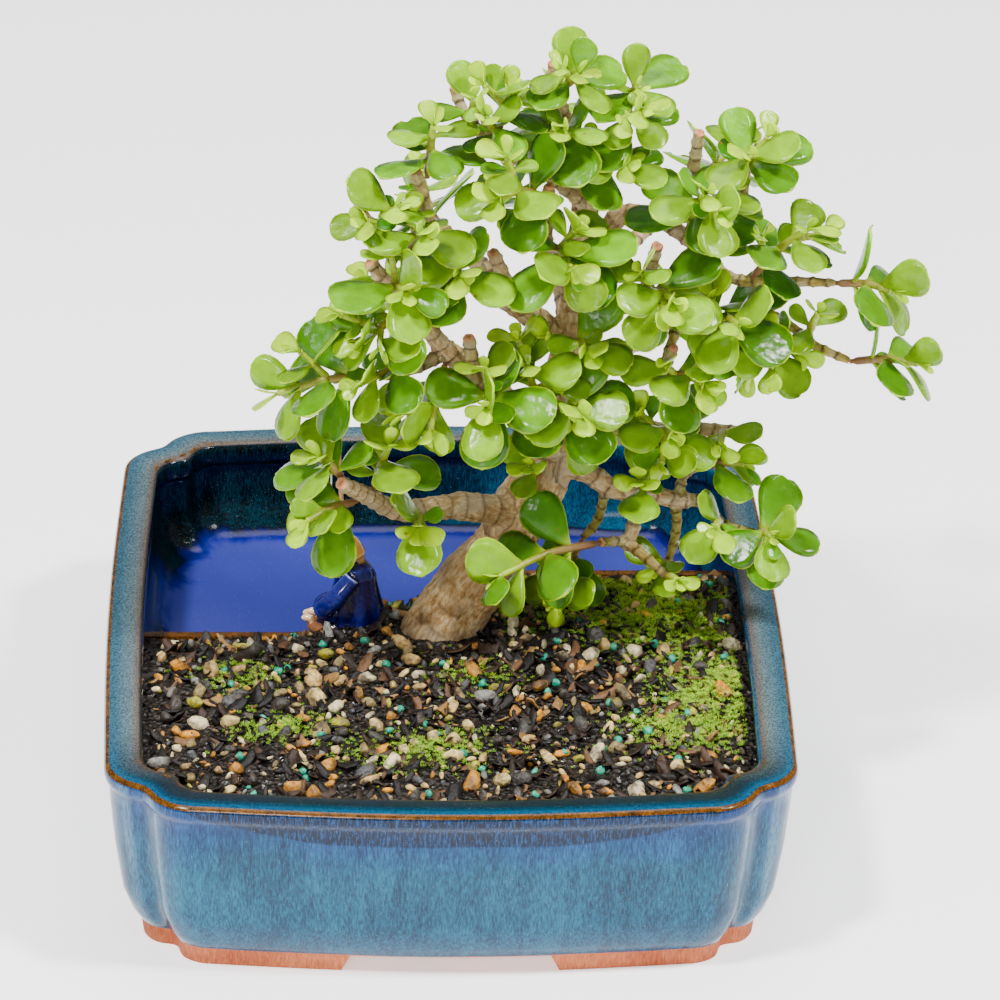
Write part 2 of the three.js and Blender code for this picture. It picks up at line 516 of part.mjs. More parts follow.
// Leaf blade: half width and the rise of its middle surface, from the root (0) to the end (1)
function leafHalfWidth(u, length) {
  const widest = LEAF_HALF_WIDTH * length;
  const stations = [[0, LEAF_ROOT_HALF_WIDTH / widest], ...LEAF_OUTLINE, [1.02, 0.3]];
  for (let i = 1; i < stations.length; i++) {
    const [u0, w0] = stations[i - 1];
    const [u1, w1] = stations[i];
    if (u <= u1) return widest * (w0 + (w1 - w0) * (u - u0) / (u1 - u0));
  }
  return 0.3 * widest;
}

function leafRise(u, w, length) {
  return length * (LEAF_CUP * w * w * u - LEAF_DROOP * u * u);
}

function leafPoint(leaf, u, w, lift = 0) {
  return leaf.root.clone()
    .addScaledVector(leaf.dir, u * leaf.length)
    .addScaledVector(leaf.side, w * leafHalfWidth(u, leaf.length))
    .addScaledVector(leaf.up, leafRise(u, w, leaf.length) + lift);
}

// True when a point lies within the given distance of a leaf's blade
function nearLeaf(point, leaf, distance) {
  const offset = point.clone().sub(leaf.root);
  if (offset.lengthSq() > (leaf.length + 3) ** 2) return false;
  const u = offset.dot(leaf.dir) / leaf.length;
  if (u < 0.1 || u > 1 + 1 / leaf.length) return false;
  const half = leafHalfWidth(Math.min(1, u), leaf.length);
  const across = offset.dot(leaf.side);
  if (Math.abs(across) > half + 1) return false;
  const w = Math.min(1, Math.abs(across) / half);
  return Math.abs(offset.dot(leaf.up) - leafRise(u, w, leaf.length)) < distance;
}

function leafIsClear(leaf) {
  for (const u of [0.2, 0.36, 0.52, 0.68, 0.84, 0.98]) {
    for (const w of [-1, -0.5, 0, 0.5, 1]) {
      const point = leafPoint(leaf, u, w);
      if (point.z < soilHeight(point.x, point.y) + 4) return false;
      if (point.z < 62 && Math.abs(point.x) > 84) return false;
      const barred = bars.some((bar) => bar.stem !== leaf.stem && barDistance(point, bar) < 1.7);
      if (barred) return false;
      const touching = leaves.some((other) => nearLeaf(point, other, other.spray === leaf.spray ? 1.5 : 2));
      if (touching) return false;
    }
  }
  return true;
}

// One leaf tried at a few turns about its stem, until it is clear of everything placed before it
function growLeaf(stem, node, facing, spread, length, random) {
  const sway = (random() - 0.5) * 0.5;
  const droop = 0.05 + 0.15 * random();
  const outward = node.at.clone().sub(CROWN_CENTRE).normalize();
  const across = (angle) => node.normal.clone().multiplyScalar(Math.cos(angle))
    .addScaledVector(node.binormal, Math.sin(angle));
  const root = node.at.clone().addScaledVector(across(facing), 0.6 * node.radius);
  for (let k = 0; k < 24; k++) {
    const turn = facing + [0, 0.2, -0.2, 0.4, -0.4, 0.6, -0.6, 0.8][k % 8];
    const tilt = spread + [0, -0.25, 0.3][Math.floor(k / 8)];
    const dir = across(turn).multiplyScalar(Math.sin(tilt)).addScaledVector(node.tangent, Math.cos(tilt));
    if (length > SMALL_LEAF) dir.z = LEAF_LEVELLING * dir.z - droop;
    dir.normalize();
    const natural = node.tangent.clone().addScaledVector(dir, -node.tangent.dot(dir)).normalize();
    const wanted = LIGHT.clone().addScaledVector(node.tangent, TURN_TO_TIP)
      .addScaledVector(outward, TURN_OUTWARD);
    const lean = Math.atan2(wanted.dot(dir.clone().cross(natural)), wanted.dot(natural));
    const twist = Math.min(LARGEST_TWIST, Math.max(-LARGEST_TWIST, lean + sway));
    const up = natural.applyAxisAngle(dir, twist);
    const side = up.clone().cross(dir);
    const leaf = { spray: stem.spray, stem: stem.id, root, dir, side, up, length: length * (1 - 0.02 * k) };
    if (leafIsClear(leaf)) {
      leaves.push(leaf);
      return leaf;
    }
  }
  return null;
}

// The stem's foot is a small disc, moved out of the wood that it grows from until it is just clear
function stemRoute(spray) {
  const start = vector(spray.from);
  const tip = vector(spray.to);
  const way = tip.clone().sub(start).normalize();
  const across = new THREE.Vector3(-way.y, way.x, 0.01).normalize();
  const upward = way.clone().cross(across).normalize();
  const wood = bars.filter((bar) => bar.stem === undefined);
  const buried = (x, y) => {
    const point = start.clone().addScaledVector(across, 0.8 * x).addScaledVector(upward, 0.8 * y);
    return Math.min(...wood.map((bar) => barDistance(point, bar))) < GAP + 0.1;
  };
  while (buried(0, 0) || buried(1, 0) || buried(-1, 0) || buried(0, 1) || buried(0, -1)) {
    start.addScaledVector(way, 0.1);
  }
  const middle = start.clone().lerp(tip, 0.5);
  middle.z += 0.06 * start.distanceTo(tip);
  const shoulder = start.clone().lerp(middle, 0.12);
  return [
    [...start.toArray(), 0.7], [...shoulder.toArray(), STEM_RADIUS], [...middle.toArray(), STEM_RADIUS],
    [...tip.toArray(), 0.85],
  ];
}

// The pairs of leaves of one stem, each pair on a short band, a quarter turn on from the last pair
function growStem(stem, random) {
  const steps = 40;
  const frames = routeFrames(stem.route, steps);
  const length = vector(stem.route[0]).distanceTo(vector(stem.route[3]));
  const band = Math.min(7, Math.max(1, Math.round(steps * NODE_HEIGHT / length)));
  stem.frames = frames;
  stem.stations = [];
  stem.nodes = [];
  for (let pair = 0; pair < stem.pairs; pair++) {
    const fromTip = stem.pairs - 1 - pair;
    const along = stem.pairs > 1 ? stem.bare + (1 - stem.bare) * pair / (stem.pairs - 1) : 1;
    const upper = Math.round(along * steps);
    const share = [0.5, 0.85, 1, 1][Math.min(3, fromTip)];
    const spread = [0.6, 0.95, 1.15, 1.25][Math.min(3, fromTip)];
    const children = [];
    [pair % 2, pair % 2 + 2].forEach((facet) => {
      const size = stem.leaf * share * (0.88 + 0.24 * random());
      const facing = stem.roll + facet * Math.PI / 2;
      const leaf = growLeaf(stem, frames[upper], facing, spread, size, random);
      if (leaf) children.push({ facet, leaf });
    });
    stem.nodes.push({ lower: stem.stations.length + 1, station: upper, children });
    stem.stations.push(frames[upper - band], frames[upper]);
  }
}

function growSpray(spray, index) {
  const random = seededRandom(100 + index);
  Object.assign(spray, { spray: index, id: index, bare: 0.3, roll: random() * Math.PI / 2 });
  growStem(spray, random);
}

// A short shoot from a bare facet of a stem, kept where there is room for two or more of its leaves
function sideShoot(spray, node, facet, id, random) {
  const frame = spray.frames[node.station];
  const facing = spray.roll + facet * Math.PI / 2;
  const out = frame.normal.clone().multiplyScalar(Math.cos(facing))
    .addScaledVector(frame.binormal, Math.sin(facing));
  const start = frame.at.clone().addScaledVector(frame.tangent, -NODE_HEIGHT / 2)
    .addScaledVector(out, 0.9 * frame.radius);
  const dir = out.clone().addScaledVector(frame.tangent, 0.6)
    .addScaledVector(start.clone().sub(CROWN_CENTRE).normalize(), 0.4)
    .addScaledVector(LIGHT, 0.4).normalize();
  const reach = 8 + 4 * random();
  const at = (t) => start.clone().addScaledVector(dir, t * reach);
  const blocked = [0.35, 0.6, 0.85, 1.1, 1.3].map(at).some((point) => (
    point.z < soilHeight(point.x, point.y) + 8
    || bars.some((bar) => bar.stem !== spray.id && barDistance(point, bar) < 2.4)
    || leaves.some((leaf) => nearLeaf(point, leaf, 2.4))));
  if (blocked) return null;
  const corner = -Math.PI / 4;
  const sizes = [[0, 1], [0.15, 0.95], [0.55, 0.9], [1, 0.75]];
  const route = sizes.map(([share, radius]) => [...at(share).toArray(), radius]);
  const first = routeFrames(route, 1)[0];
  const towards = frame.binormal.clone().multiplyScalar(Math.cos(facing))
    .addScaledVector(frame.normal, -Math.sin(facing)).negate().addScaledVector(frame.tangent, -1);
  const roll = Math.atan2(towards.dot(first.binormal), towards.dot(first.normal)) - corner;
  const shoot = { spray: spray.id, id, route, roll, bare: 0.5, pairs: 2, leaf: 0.9 * spray.leaf };
  const before = leaves.length;
  growStem(shoot, random);
  if (leaves.length < before + 2) {
    leaves.length = before;
    return null;
  }
  const firstBar = bars.length;
  addRouteBars(route, 2);
  bars.slice(firstBar).forEach((bar) => {
    bar.stem = id;
  });
  return shoot;
}

function growSideShoots(spray, index) {
  const random = seededRandom(500 + index);
  let left = spray.shoots ?? 0;
  spray.nodes.slice(0, -1).forEach((node, n) => {
    const taken = node.children.map((child) => child.facet);
    [0, 1, 2, 3].filter((facet) => !taken.includes(facet)).forEach((facet) => {
      const shoot = left > 0 && sideShoot(spray, node, facet, 1000 + 100 * index + 10 * n + facet, random);
      if (!shoot) return;
      node.children.push({ facet, shoot });
      left--;
    });
  });
}

// One leaf's blade on the four corners of its facet, thick in the middle and sharp at the rim
function skinLeaf(leaf, foot, points, faces) {
  const outline = leaf.length > SMALL_LEAF ? LEAF_OUTLINE : SMALL_LEAF_OUTLINE;
  const thick = Math.min(0.9, Math.max(0.5, 0.055 * leaf.length));
  const right = outline.map(([u]) => leafPoint(leaf, u, -1));
  const left = outline.map(([u]) => leafPoint(leaf, u, 1)).reverse();
  const edge = [...right, leafPoint(leaf, 1, 0), ...left];
  const rim = edge.map((_, i) => points.length + i);
  const top = points.length + edge.length;
  const bottom = top + 1;
  points.push(...edge, leafPoint(leaf, 0.55, 0, thick), leafPoint(leaf, 0.55, 0, -thick));
  const [lowerRight, lowerLeft, upperLeft, upperRight] = foot;
  const fan = (centre, loop) => {
    for (let i = 0; i < loop.length - 1; i++) faces.push([centre, loop[i], loop[i + 1]]);
  };
  fan(top, [upperLeft, upperRight, ...rim, upperLeft]);
  fan(bottom, [lowerRight, lowerLeft, ...[...rim].reverse(), lowerRight]);
  faces.push([upperRight, lowerRight, rim[0]], [upperLeft, rim[rim.length - 1], lowerLeft]);
}

// Four-sided skin of a stem from a first ring on: a facet with a leaf or a shoot opens into its skin
function skinStem(stem, firstRing, points, faces) {
  const rings = [firstRing];
  stem.stations.forEach((station) => {
    rings.push([0, 1, 2, 3].map((i) => points.length + i));
    points.push(...stemRing(stem, station));
  });
  for (let r = 0; r < rings.length - 1; r++) {
    const node = stem.nodes.find(({ lower }) => lower === r);
    for (let facet = 0; facet < 4; facet++) {
      const next = (facet + 1) % 4;
      const [a, b, c, d] = [rings[r][facet], rings[r][next], rings[r + 1][next], rings[r + 1][facet]];
      const child = node?.children.find((grown) => grown.facet === facet);
      if (child?.leaf) skinLeaf(child.leaf, [a, b, c, d], points, faces);
      else if (child?.shoot) skinStem(child.shoot, [a, b, c, d], points, faces);
      else faces.push([a, b, c], [a, c, d]);
    }
  }
  const last = rings[rings.length - 1];
  faces.push([last[0], last[1], last[2]], [last[0], last[2], last[3]]);
}

function stemRing(stem, station) {
  return [0, 1, 2, 3].map((i) => {
    const angle = stem.roll + (i - 0.5) * Math.PI / 2;
    return station.at.clone()
      .addScaledVector(station.normal, Math.cos(angle) * station.radius * 1.15)
      .addScaledVector(station.binormal, Math.sin(angle) * station.radius * 1.15);
  });
}

function sprayGeometry(spray) {
  const points = stemRing(spray, spray.frames[0]);
  const faces = [[2, 1, 0], [3, 2, 0]];
  skinStem(spray, [0, 1, 2, 3], points, faces);
  const geometry = new THREE.BufferGeometry().setFromPoints(points);
  geometry.setIndex(faces.flat());
  return geometry;
}

// Seated fisherman in a wide robe and a straw hat, facing -X, built about the foot of his rock
function ellipsoid(x, y, z, rx, ry, rz) {
  const ball = new THREE.SphereGeometry(1, 7, 5).rotateX(Math.PI / 2).scale(rx, ry, rz);
  return toSolid(ball.translate(x, y, z));
}

function turned(profile, segments) {
  const geometry = new THREE.LatheGeometry(profile.map(([r, z]) => new THREE.Vector2(r, z)), segments);
  return geometry.rotateX(Math.PI / 2);
}

function fishermanSolid() {
  const robe = turned([
    [0, 1], [8.8, 1], [9.4, 4], [8.2, 9], [6.8, 15], [6.4, 19], [4.6, 22.5], [2, 24], [0, 24],
  ], 10);
  const hat = turned([[0, 26], [5.2, 25.6], [5.7, 26], [5, 27.6], [3.8, 30], [2, 31.6], [0, 32]], 10);
  const nearSleeve = taperedTube([[-1, -5.5, 20, 2.6], [-6, -7.5, 14, 3.2], [-10, -5, 9, 3.6]], 6, 3);
  const farSleeve = taperedTube([[-1, 5, 20, 2.4], [-2, 7.6, 16, 2.6], [-2.4, 8, 13, 2.4]], 6, 2);
  const beard = taperedTube([[-2, 0, 24, 1.8], [-4.4, 0, 20, 0.7]], 5, 1);
  const ground = new THREE.BoxGeometry(60, 60, 20).translate(0, 0, -10);
  const figure = wasm.Manifold.union([
    ellipsoid(-4, 0, 1.5, 11, 8, 4.2),
    toSolid(robe.scale(1, 0.86, 1)),
    ellipsoid(-7, 0, 7, 6, 6, 4.4),
    toSolid(nearSleeve), toSolid(farSleeve), toSolid(beard),
    ellipsoid(-12.4, -3.6, 7.4, 2.6, 1.5, 1.5),
    ellipsoid(-13.6, -1, 3.8, 3, 1.5, 1.4), ellipsoid(-13.2, 2.6, 3.6, 3, 1.5, 1.4),
    ellipsoid(-2.6, 8, 11.6, 2.3, 2.3, 2.2),
    ellipsoid(-1.2, 0, 25, 3.1, 3, 3.1),
    toSolid(hat.rotateY(-0.1)),
  ]).subtract(toSolid(ground));
  const rodWay = ROD_TIP.clone().sub(ROD_FOOT);
  const hole = straightBar(ROD_FOOT.clone().addScaledVector(rodWay, -0.008), ROD_TIP, ROD_RADIUS + GAP, 8);
  return figure.translate(FIGURE_AT.toArray()).subtract(toSolid(hole));
}

function straightBar(from, to, radius, sides) {
  const length = from.distanceTo(to);
  const bar = new THREE.CylinderGeometry(radius, radius, length, sides);
  bar.translate(0, length / 2, 0);
  bar.applyQuaternion(new THREE.Quaternion().setFromUnitVectors(
    new THREE.Vector3(0, 1, 0), to.clone().sub(from).normalize()));
  return bar.translate(from.x, from.y, from.z);
}

// The line is a round thread swept along its route
function lineGeometry() {
  const section = new THREE.Shape();
  section.absarc(0, 0, LINE_RADIUS, 0, 2 * Math.PI, false);
  const route = new THREE.CatmullRomCurve3(LINE_ROUTE.map(vector), false, 'centripetal');
  return new THREE.ExtrudeGeometry(section, { steps: 38, curveSegments: 4, extrudePath: route });
}

// Finishes, one function for each
const glaze = () => material(0x2e7897, 0.22);
const earth = () => material(0x2a2119, 0.95);
const bark = () => material(0xa5835a, 0.85);
const leafGreen = () => material(0x7ab62c, 0.35);
const blueGlaze = () => material(0x17246e, 0.2);
const bamboo = () => material(0xc79a6a, 0.6);
const whiteThread = () => material(0xeeeae2, 0.8);

// Assembly: wood and fittings are placed first, then stems, then leaves clear of all of them
Object.values(WOOD).forEach(({ route }) => addRouteBars(route, woodSteps(route)));
SPRAYS.forEach((spray) => {
  spray.route = stemRoute(spray);
});
SPRAYS.forEach((spray, index) => {
  const first = bars.length;
  addRouteBars(spray.route, 3);
  bars.slice(first).forEach((bar) => {
    bar.stem = index;
  });
});
addBar(ROD_FOOT, ROD_TIP, ROD_RADIUS, ROD_RADIUS);
addBar(vector([-34.4, 17, 116]), vector([-34, 17, 60]), LINE_RADIUS, LINE_RADIUS);
addBar(FIGURE_AT.clone().setZ(52), FIGURE_AT.clone().setZ(70), 9, 7);
SPRAYS.forEach(growSpray);
SPRAYS.forEach(growSideShoots);

const bonsai = new THREE.Group();
bonsai.position.copy(ORIGIN_SHIFT).negate();
bonsai.add(toMesh('pot', potSolid(), glaze()));
bonsai.add(toMesh('soil', soilSolid(), earth()));
bonsai.add(toMesh('trunk', trunkSolid(), bark()));
SPRAYS.forEach((spray) => bonsai.add(toMesh(spray.name, toSolid(sprayGeometry(spray)), leafGreen())));
bonsai.add(toMesh('fisherman', fishermanSolid(), blueGlaze()));
bonsai.add(toMesh('fishing_rod', toSolid(straightBar(ROD_FOOT, ROD_TIP, ROD_RADIUS, 8)), bamboo()));
bonsai.add(toMesh('fishing_line', toSolid(lineGeometry()), whiteThread()));

export default bonsai;
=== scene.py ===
import json
import math

import bmesh
import bpy
import numpy as np
from bpy.props import FloatProperty, FloatVectorProperty, IntProperty
from mathutils import Matrix, Vector, kdtree, noise

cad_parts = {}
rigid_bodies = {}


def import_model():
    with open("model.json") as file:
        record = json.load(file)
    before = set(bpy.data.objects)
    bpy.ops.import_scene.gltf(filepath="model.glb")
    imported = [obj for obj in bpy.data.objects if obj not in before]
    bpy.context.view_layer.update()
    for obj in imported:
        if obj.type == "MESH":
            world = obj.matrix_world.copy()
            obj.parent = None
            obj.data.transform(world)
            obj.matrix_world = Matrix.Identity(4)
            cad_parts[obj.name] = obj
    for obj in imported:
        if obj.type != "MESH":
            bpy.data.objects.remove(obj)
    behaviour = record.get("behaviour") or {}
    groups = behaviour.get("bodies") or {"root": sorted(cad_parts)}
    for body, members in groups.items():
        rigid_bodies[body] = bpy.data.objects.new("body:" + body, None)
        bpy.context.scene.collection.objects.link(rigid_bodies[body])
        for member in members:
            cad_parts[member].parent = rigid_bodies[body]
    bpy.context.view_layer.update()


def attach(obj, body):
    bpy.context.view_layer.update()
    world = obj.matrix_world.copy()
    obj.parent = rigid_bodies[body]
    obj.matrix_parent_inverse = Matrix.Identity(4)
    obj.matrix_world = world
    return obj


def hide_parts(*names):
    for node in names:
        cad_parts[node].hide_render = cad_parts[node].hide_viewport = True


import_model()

bl_info = {
    "name": "Dwarf jade bonsai",
    "version": (1, 0, 0),
    "blender": (4, 5, 0),
    "location": "3D View > Sidebar > Bonsai",
    "description": "A dwarf jade tree in a glazed land and water pot with a clay fisherman",
    "category": "Object",
}

# The solids' own measures, in millimetres from the middle of the pot's underside
ORIGIN_SHIFT = np.array([22.0, 0.0, 0.0])
POT_HALF_WIDTH, POT_HALF_DEPTH = 100.0, 120.0
SIDE_BOW, END_BOW, CORNER_CUT = 2.0, 4.5, 27.0
FOOT_HEIGHT, FOOT_WIDTH, FOOT_GAP_FRONT, FOOT_GAP_SIDE = 5.5, 12.0, 58.0, 84.0
DRAIN_RADIUS = 7.0
CORNER_NOTCH_REACH = 0.13
DIVIDER_TOP, DIVIDER_THICKNESS = 40.0, 3.0
SOIL_FLOOR, UNDERSIDE_RECESS = 13.0, 20.0
DIVIDER_LEFT_Y, DIVIDER_RIGHT_Y, DIVIDER_SWING = 16.0, 57.0, (-48.0, 32.0)
SOIL_LEVEL, SOIL_DROP, GAP = 49.5, 10.0, 0.35
FIGURE_AT = np.array([-27.0, 9.0, 46.5])
ROD_RADIUS = 0.8
ROD_FOOT, ROD_TIP = np.array([-29.5, 17.0, 54.0]), np.array([-33.0, 17.0, 115.5])
LINE_RADIUS = 0.25
LINE_ROUTE = [(-33, 17, 116.2), (-33.9, 17, 116.1), (-34.4, 17, 115.2), (-34.4, 17, 100),
              (-34.4, 17, 80), (-34.2, 17, 66), (-33.6, 17, 60)]
LEAF_HALF_WIDTH, LEAF_CUP, LEAF_DROOP = 0.39, 0.1, 0.13
LEAF_OUTLINE = ((0.34, 0.68), (0.8, 0.92))
LEAF_ROOT_HALF_WIDTH, SMALL_LEAF, LARGEST_TWIST = 0.95, 7.5, 1.3
LEAF_LEVELLING, TURN_TO_TIP, TURN_OUTWARD = 0.55, 0.35, 0.25
BUD_SHARE = 0.5
STEM_RADIUS, NODE_HEIGHT = 1.15, 1.4
# Least distances in millimetres: leaf to a stem, to a leaf of its own and of another piece, shoot to all
LEAF_TO_STEM, LEAF_TO_SISTER, LEAF_TO_LEAF, SHOOT_ROOM = 1.7, 1.5, 2.0, 2.4
STEM_STEPS = 40
CROWN_CENTRE, LIGHT = np.array([35.0, 8.0, 160.0]), np.array([-0.05, -0.15, 0.9])

# Woody parts: centre line points with a radius at each, from the root end to the cut end
WOOD = {
    "trunk": [(-7, -1, 33, 12.6), (-4, 0, 42, 12.2), (-1, 0, 50, 11.2), (8, 2, 65, 9.8),
        (18, 4, 78, 8.9), (23, 6, 89, 8.8), (30, 8, 101, 7.8), (34, 10, 114, 7.2),
        (37, 12, 139, 6.4), (38, 12, 157, 4.8)],
    "low_left": [(19, 2, 90, 4.6), (4, -4, 95, 4.2), (-7, -10, 97, 3.4), (-15, -15, 99, 2.8),
        (-23, -22, 107, 2.5), (-32, -34, 118, 2.1)],
    "limb_left": [(33, 8, 111, 3.6), (13, -8, 135, 3), (-1, -14, 151, 2.8), (-12, -18, 168, 2.5),
        (-20, -20, 177, 2.2), (-24, -22, 184, 2.1)],
    "ringed_stub": [(11, -9, 137, 2.2), (8, -14, 141, 2.1), (5, -20, 159, 1.8)],
    "left_mid": [(-1, -14, 151, 2.2), (-10, -18, 148, 1.9), (-20, -22, 147, 1.6)],
    "upper_left": [(37, 12, 139, 4.6), (20, 2, 159, 3.8), (10, -4, 168, 3.3), (-2, -8, 173, 2.6),
        (-15, -12, 182, 2.3), (-23, -14, 190, 2.2), (-28, -15, 198, 2.1)],
    "orange_stub": [(10, -4, 168, 2.4), (6, -14, 182, 2.2)],
    "orange_stub_right": [(20, 2, 159, 2.4), (12, -4, 179, 1.9)],
    "upper_left_stub": [(-8, -10, 177, 1.9), (-7, -10, 192, 1.9), (-11, -12, 208, 1.9)],
    "low_right": [(31, 8, 105, 3.8), (43, 4, 102, 3.3), (50, 2, 98, 3), (62, 0, 97, 2.7),
        (70, 0, 95, 2.4), (76, 2, 94, 1.9), (84, 0, 87, 1.5), (94, -2, 85, 1.3)],
    "low_right_twig": [(48, 2, 99, 1.7), (46, 6, 85, 1.4), (42, 8, 78, 1.2)],
    "knot": [(58, 0, 97, 2.3), (56, -4, 87, 2.1), (54, -5, 81, 2)],
    "knot_left": [(54, -5, 84, 1.7), (46, -10, 86, 1.4)],
    "knot_right": [(54, -5, 84, 1.9), (61, -8, 79, 1.6), (66, -10, 75, 1.3)],
    "right_twig": [(69, 0, 95, 1.6), (70, 4, 84, 1.5), (68, 4, 72, 1.1)],
    "right_shoot": [(70, 0, 96, 1.7), (72, 6, 101, 1.5), (78, 8, 103, 1.3)],
    "right_mid": [(35, 10, 115, 2.9), (43, 10, 114, 2.6), (65, 16, 111, 2.2), (79, 18, 110, 2),
        (91, 18, 109, 1.9)],
    "right_limb": [(38, 12, 153, 4.2), (45, 12, 156, 3.6), (57, 14, 153, 3.1), (69, 16, 147, 2.8),
        (81, 14, 148, 2.4), (97, 12, 151, 1.9)],
    "far_low": [(97, 12, 151, 1.9), (103, 10, 148, 1.6), (108, 8, 144, 1.5), (120, 6, 139, 1.2)],
    "right_riser": [(38, 12, 157, 3.6), (45, 16, 172, 3.2), (51, 18, 181, 2.9), (61, 16, 181, 2.6),
        (74, 12, 173, 2.2), (82, 8, 166, 1.9), (89, 6, 165, 1.7), (101, 4, 166, 1.5),
        (114, 1, 167, 1.3)],
    "leader": [(38, 12, 154, 4.4), (39, 14, 171, 3.6), (41, 14, 189, 3), (36, 10, 208, 2.5),
        (30, 4, 225, 2.2), (29, 0, 237, 2.1)],
    "leader_twig": [(41, 14, 189, 1.9), (44, 8, 198, 1.5)],
    "front_riser": [(36, 11, 158, 2.8), (28, -2, 180, 2.3), (28, -8, 202, 1.7)],
    "red_stub": [(57, 14, 153, 2), (58, 2, 165, 1.9), (60, -8, 183, 1.8)],
    "right_stub": [(69, 16, 147, 1.7), (64, 4, 136, 1.6), (66, -8, 150, 1.6)],
    "top_right": [(41, 14, 189, 2.2), (50, 14, 210, 1.7), (52, 12, 222, 1.4)],
    "top_right_stub": [(61, 16, 181, 2.1), (70, 10, 197, 1.8), (72, 4, 214, 1.8)],
    "far_riser": [(74, 12, 173, 1.8), (85, 10, 188, 1.4), (87, 8, 200, 1.2)],
    "top_left": [(40, 14, 186, 2.3), (27, 8, 199, 2), (14, 4, 208, 1.9), (4, 5, 218, 1.7),
        (0, 6, 227, 1.6)],
    "pink_stub": [(14, 4, 208, 1.7), (7, 0, 224, 1.7)],
    "back_low": [(34, 10, 113, 2.9), (45, 32, 122, 2.3), (62, 52, 124, 1.7)],
    "back_low_left": [(32, 9, 109, 2.8), (14, 30, 121, 2.2), (-6, 46, 130, 1.7)],
    "back_mid": [(37, 12, 139, 3), (34, 34, 150, 2.4), (26, 56, 160, 1.8)],
    "back_right": [(38, 13, 150, 3), (56, 36, 164, 2.3), (74, 54, 172, 1.7)],
    "back_top": [(40, 14, 170, 2.7), (38, 30, 183, 2.1), (33, 41, 190, 1.6)],
    "back_top_left": [(20, 2, 159, 2.6), (8, 20, 166, 2), (-2, 34, 170, 1.6)],
}

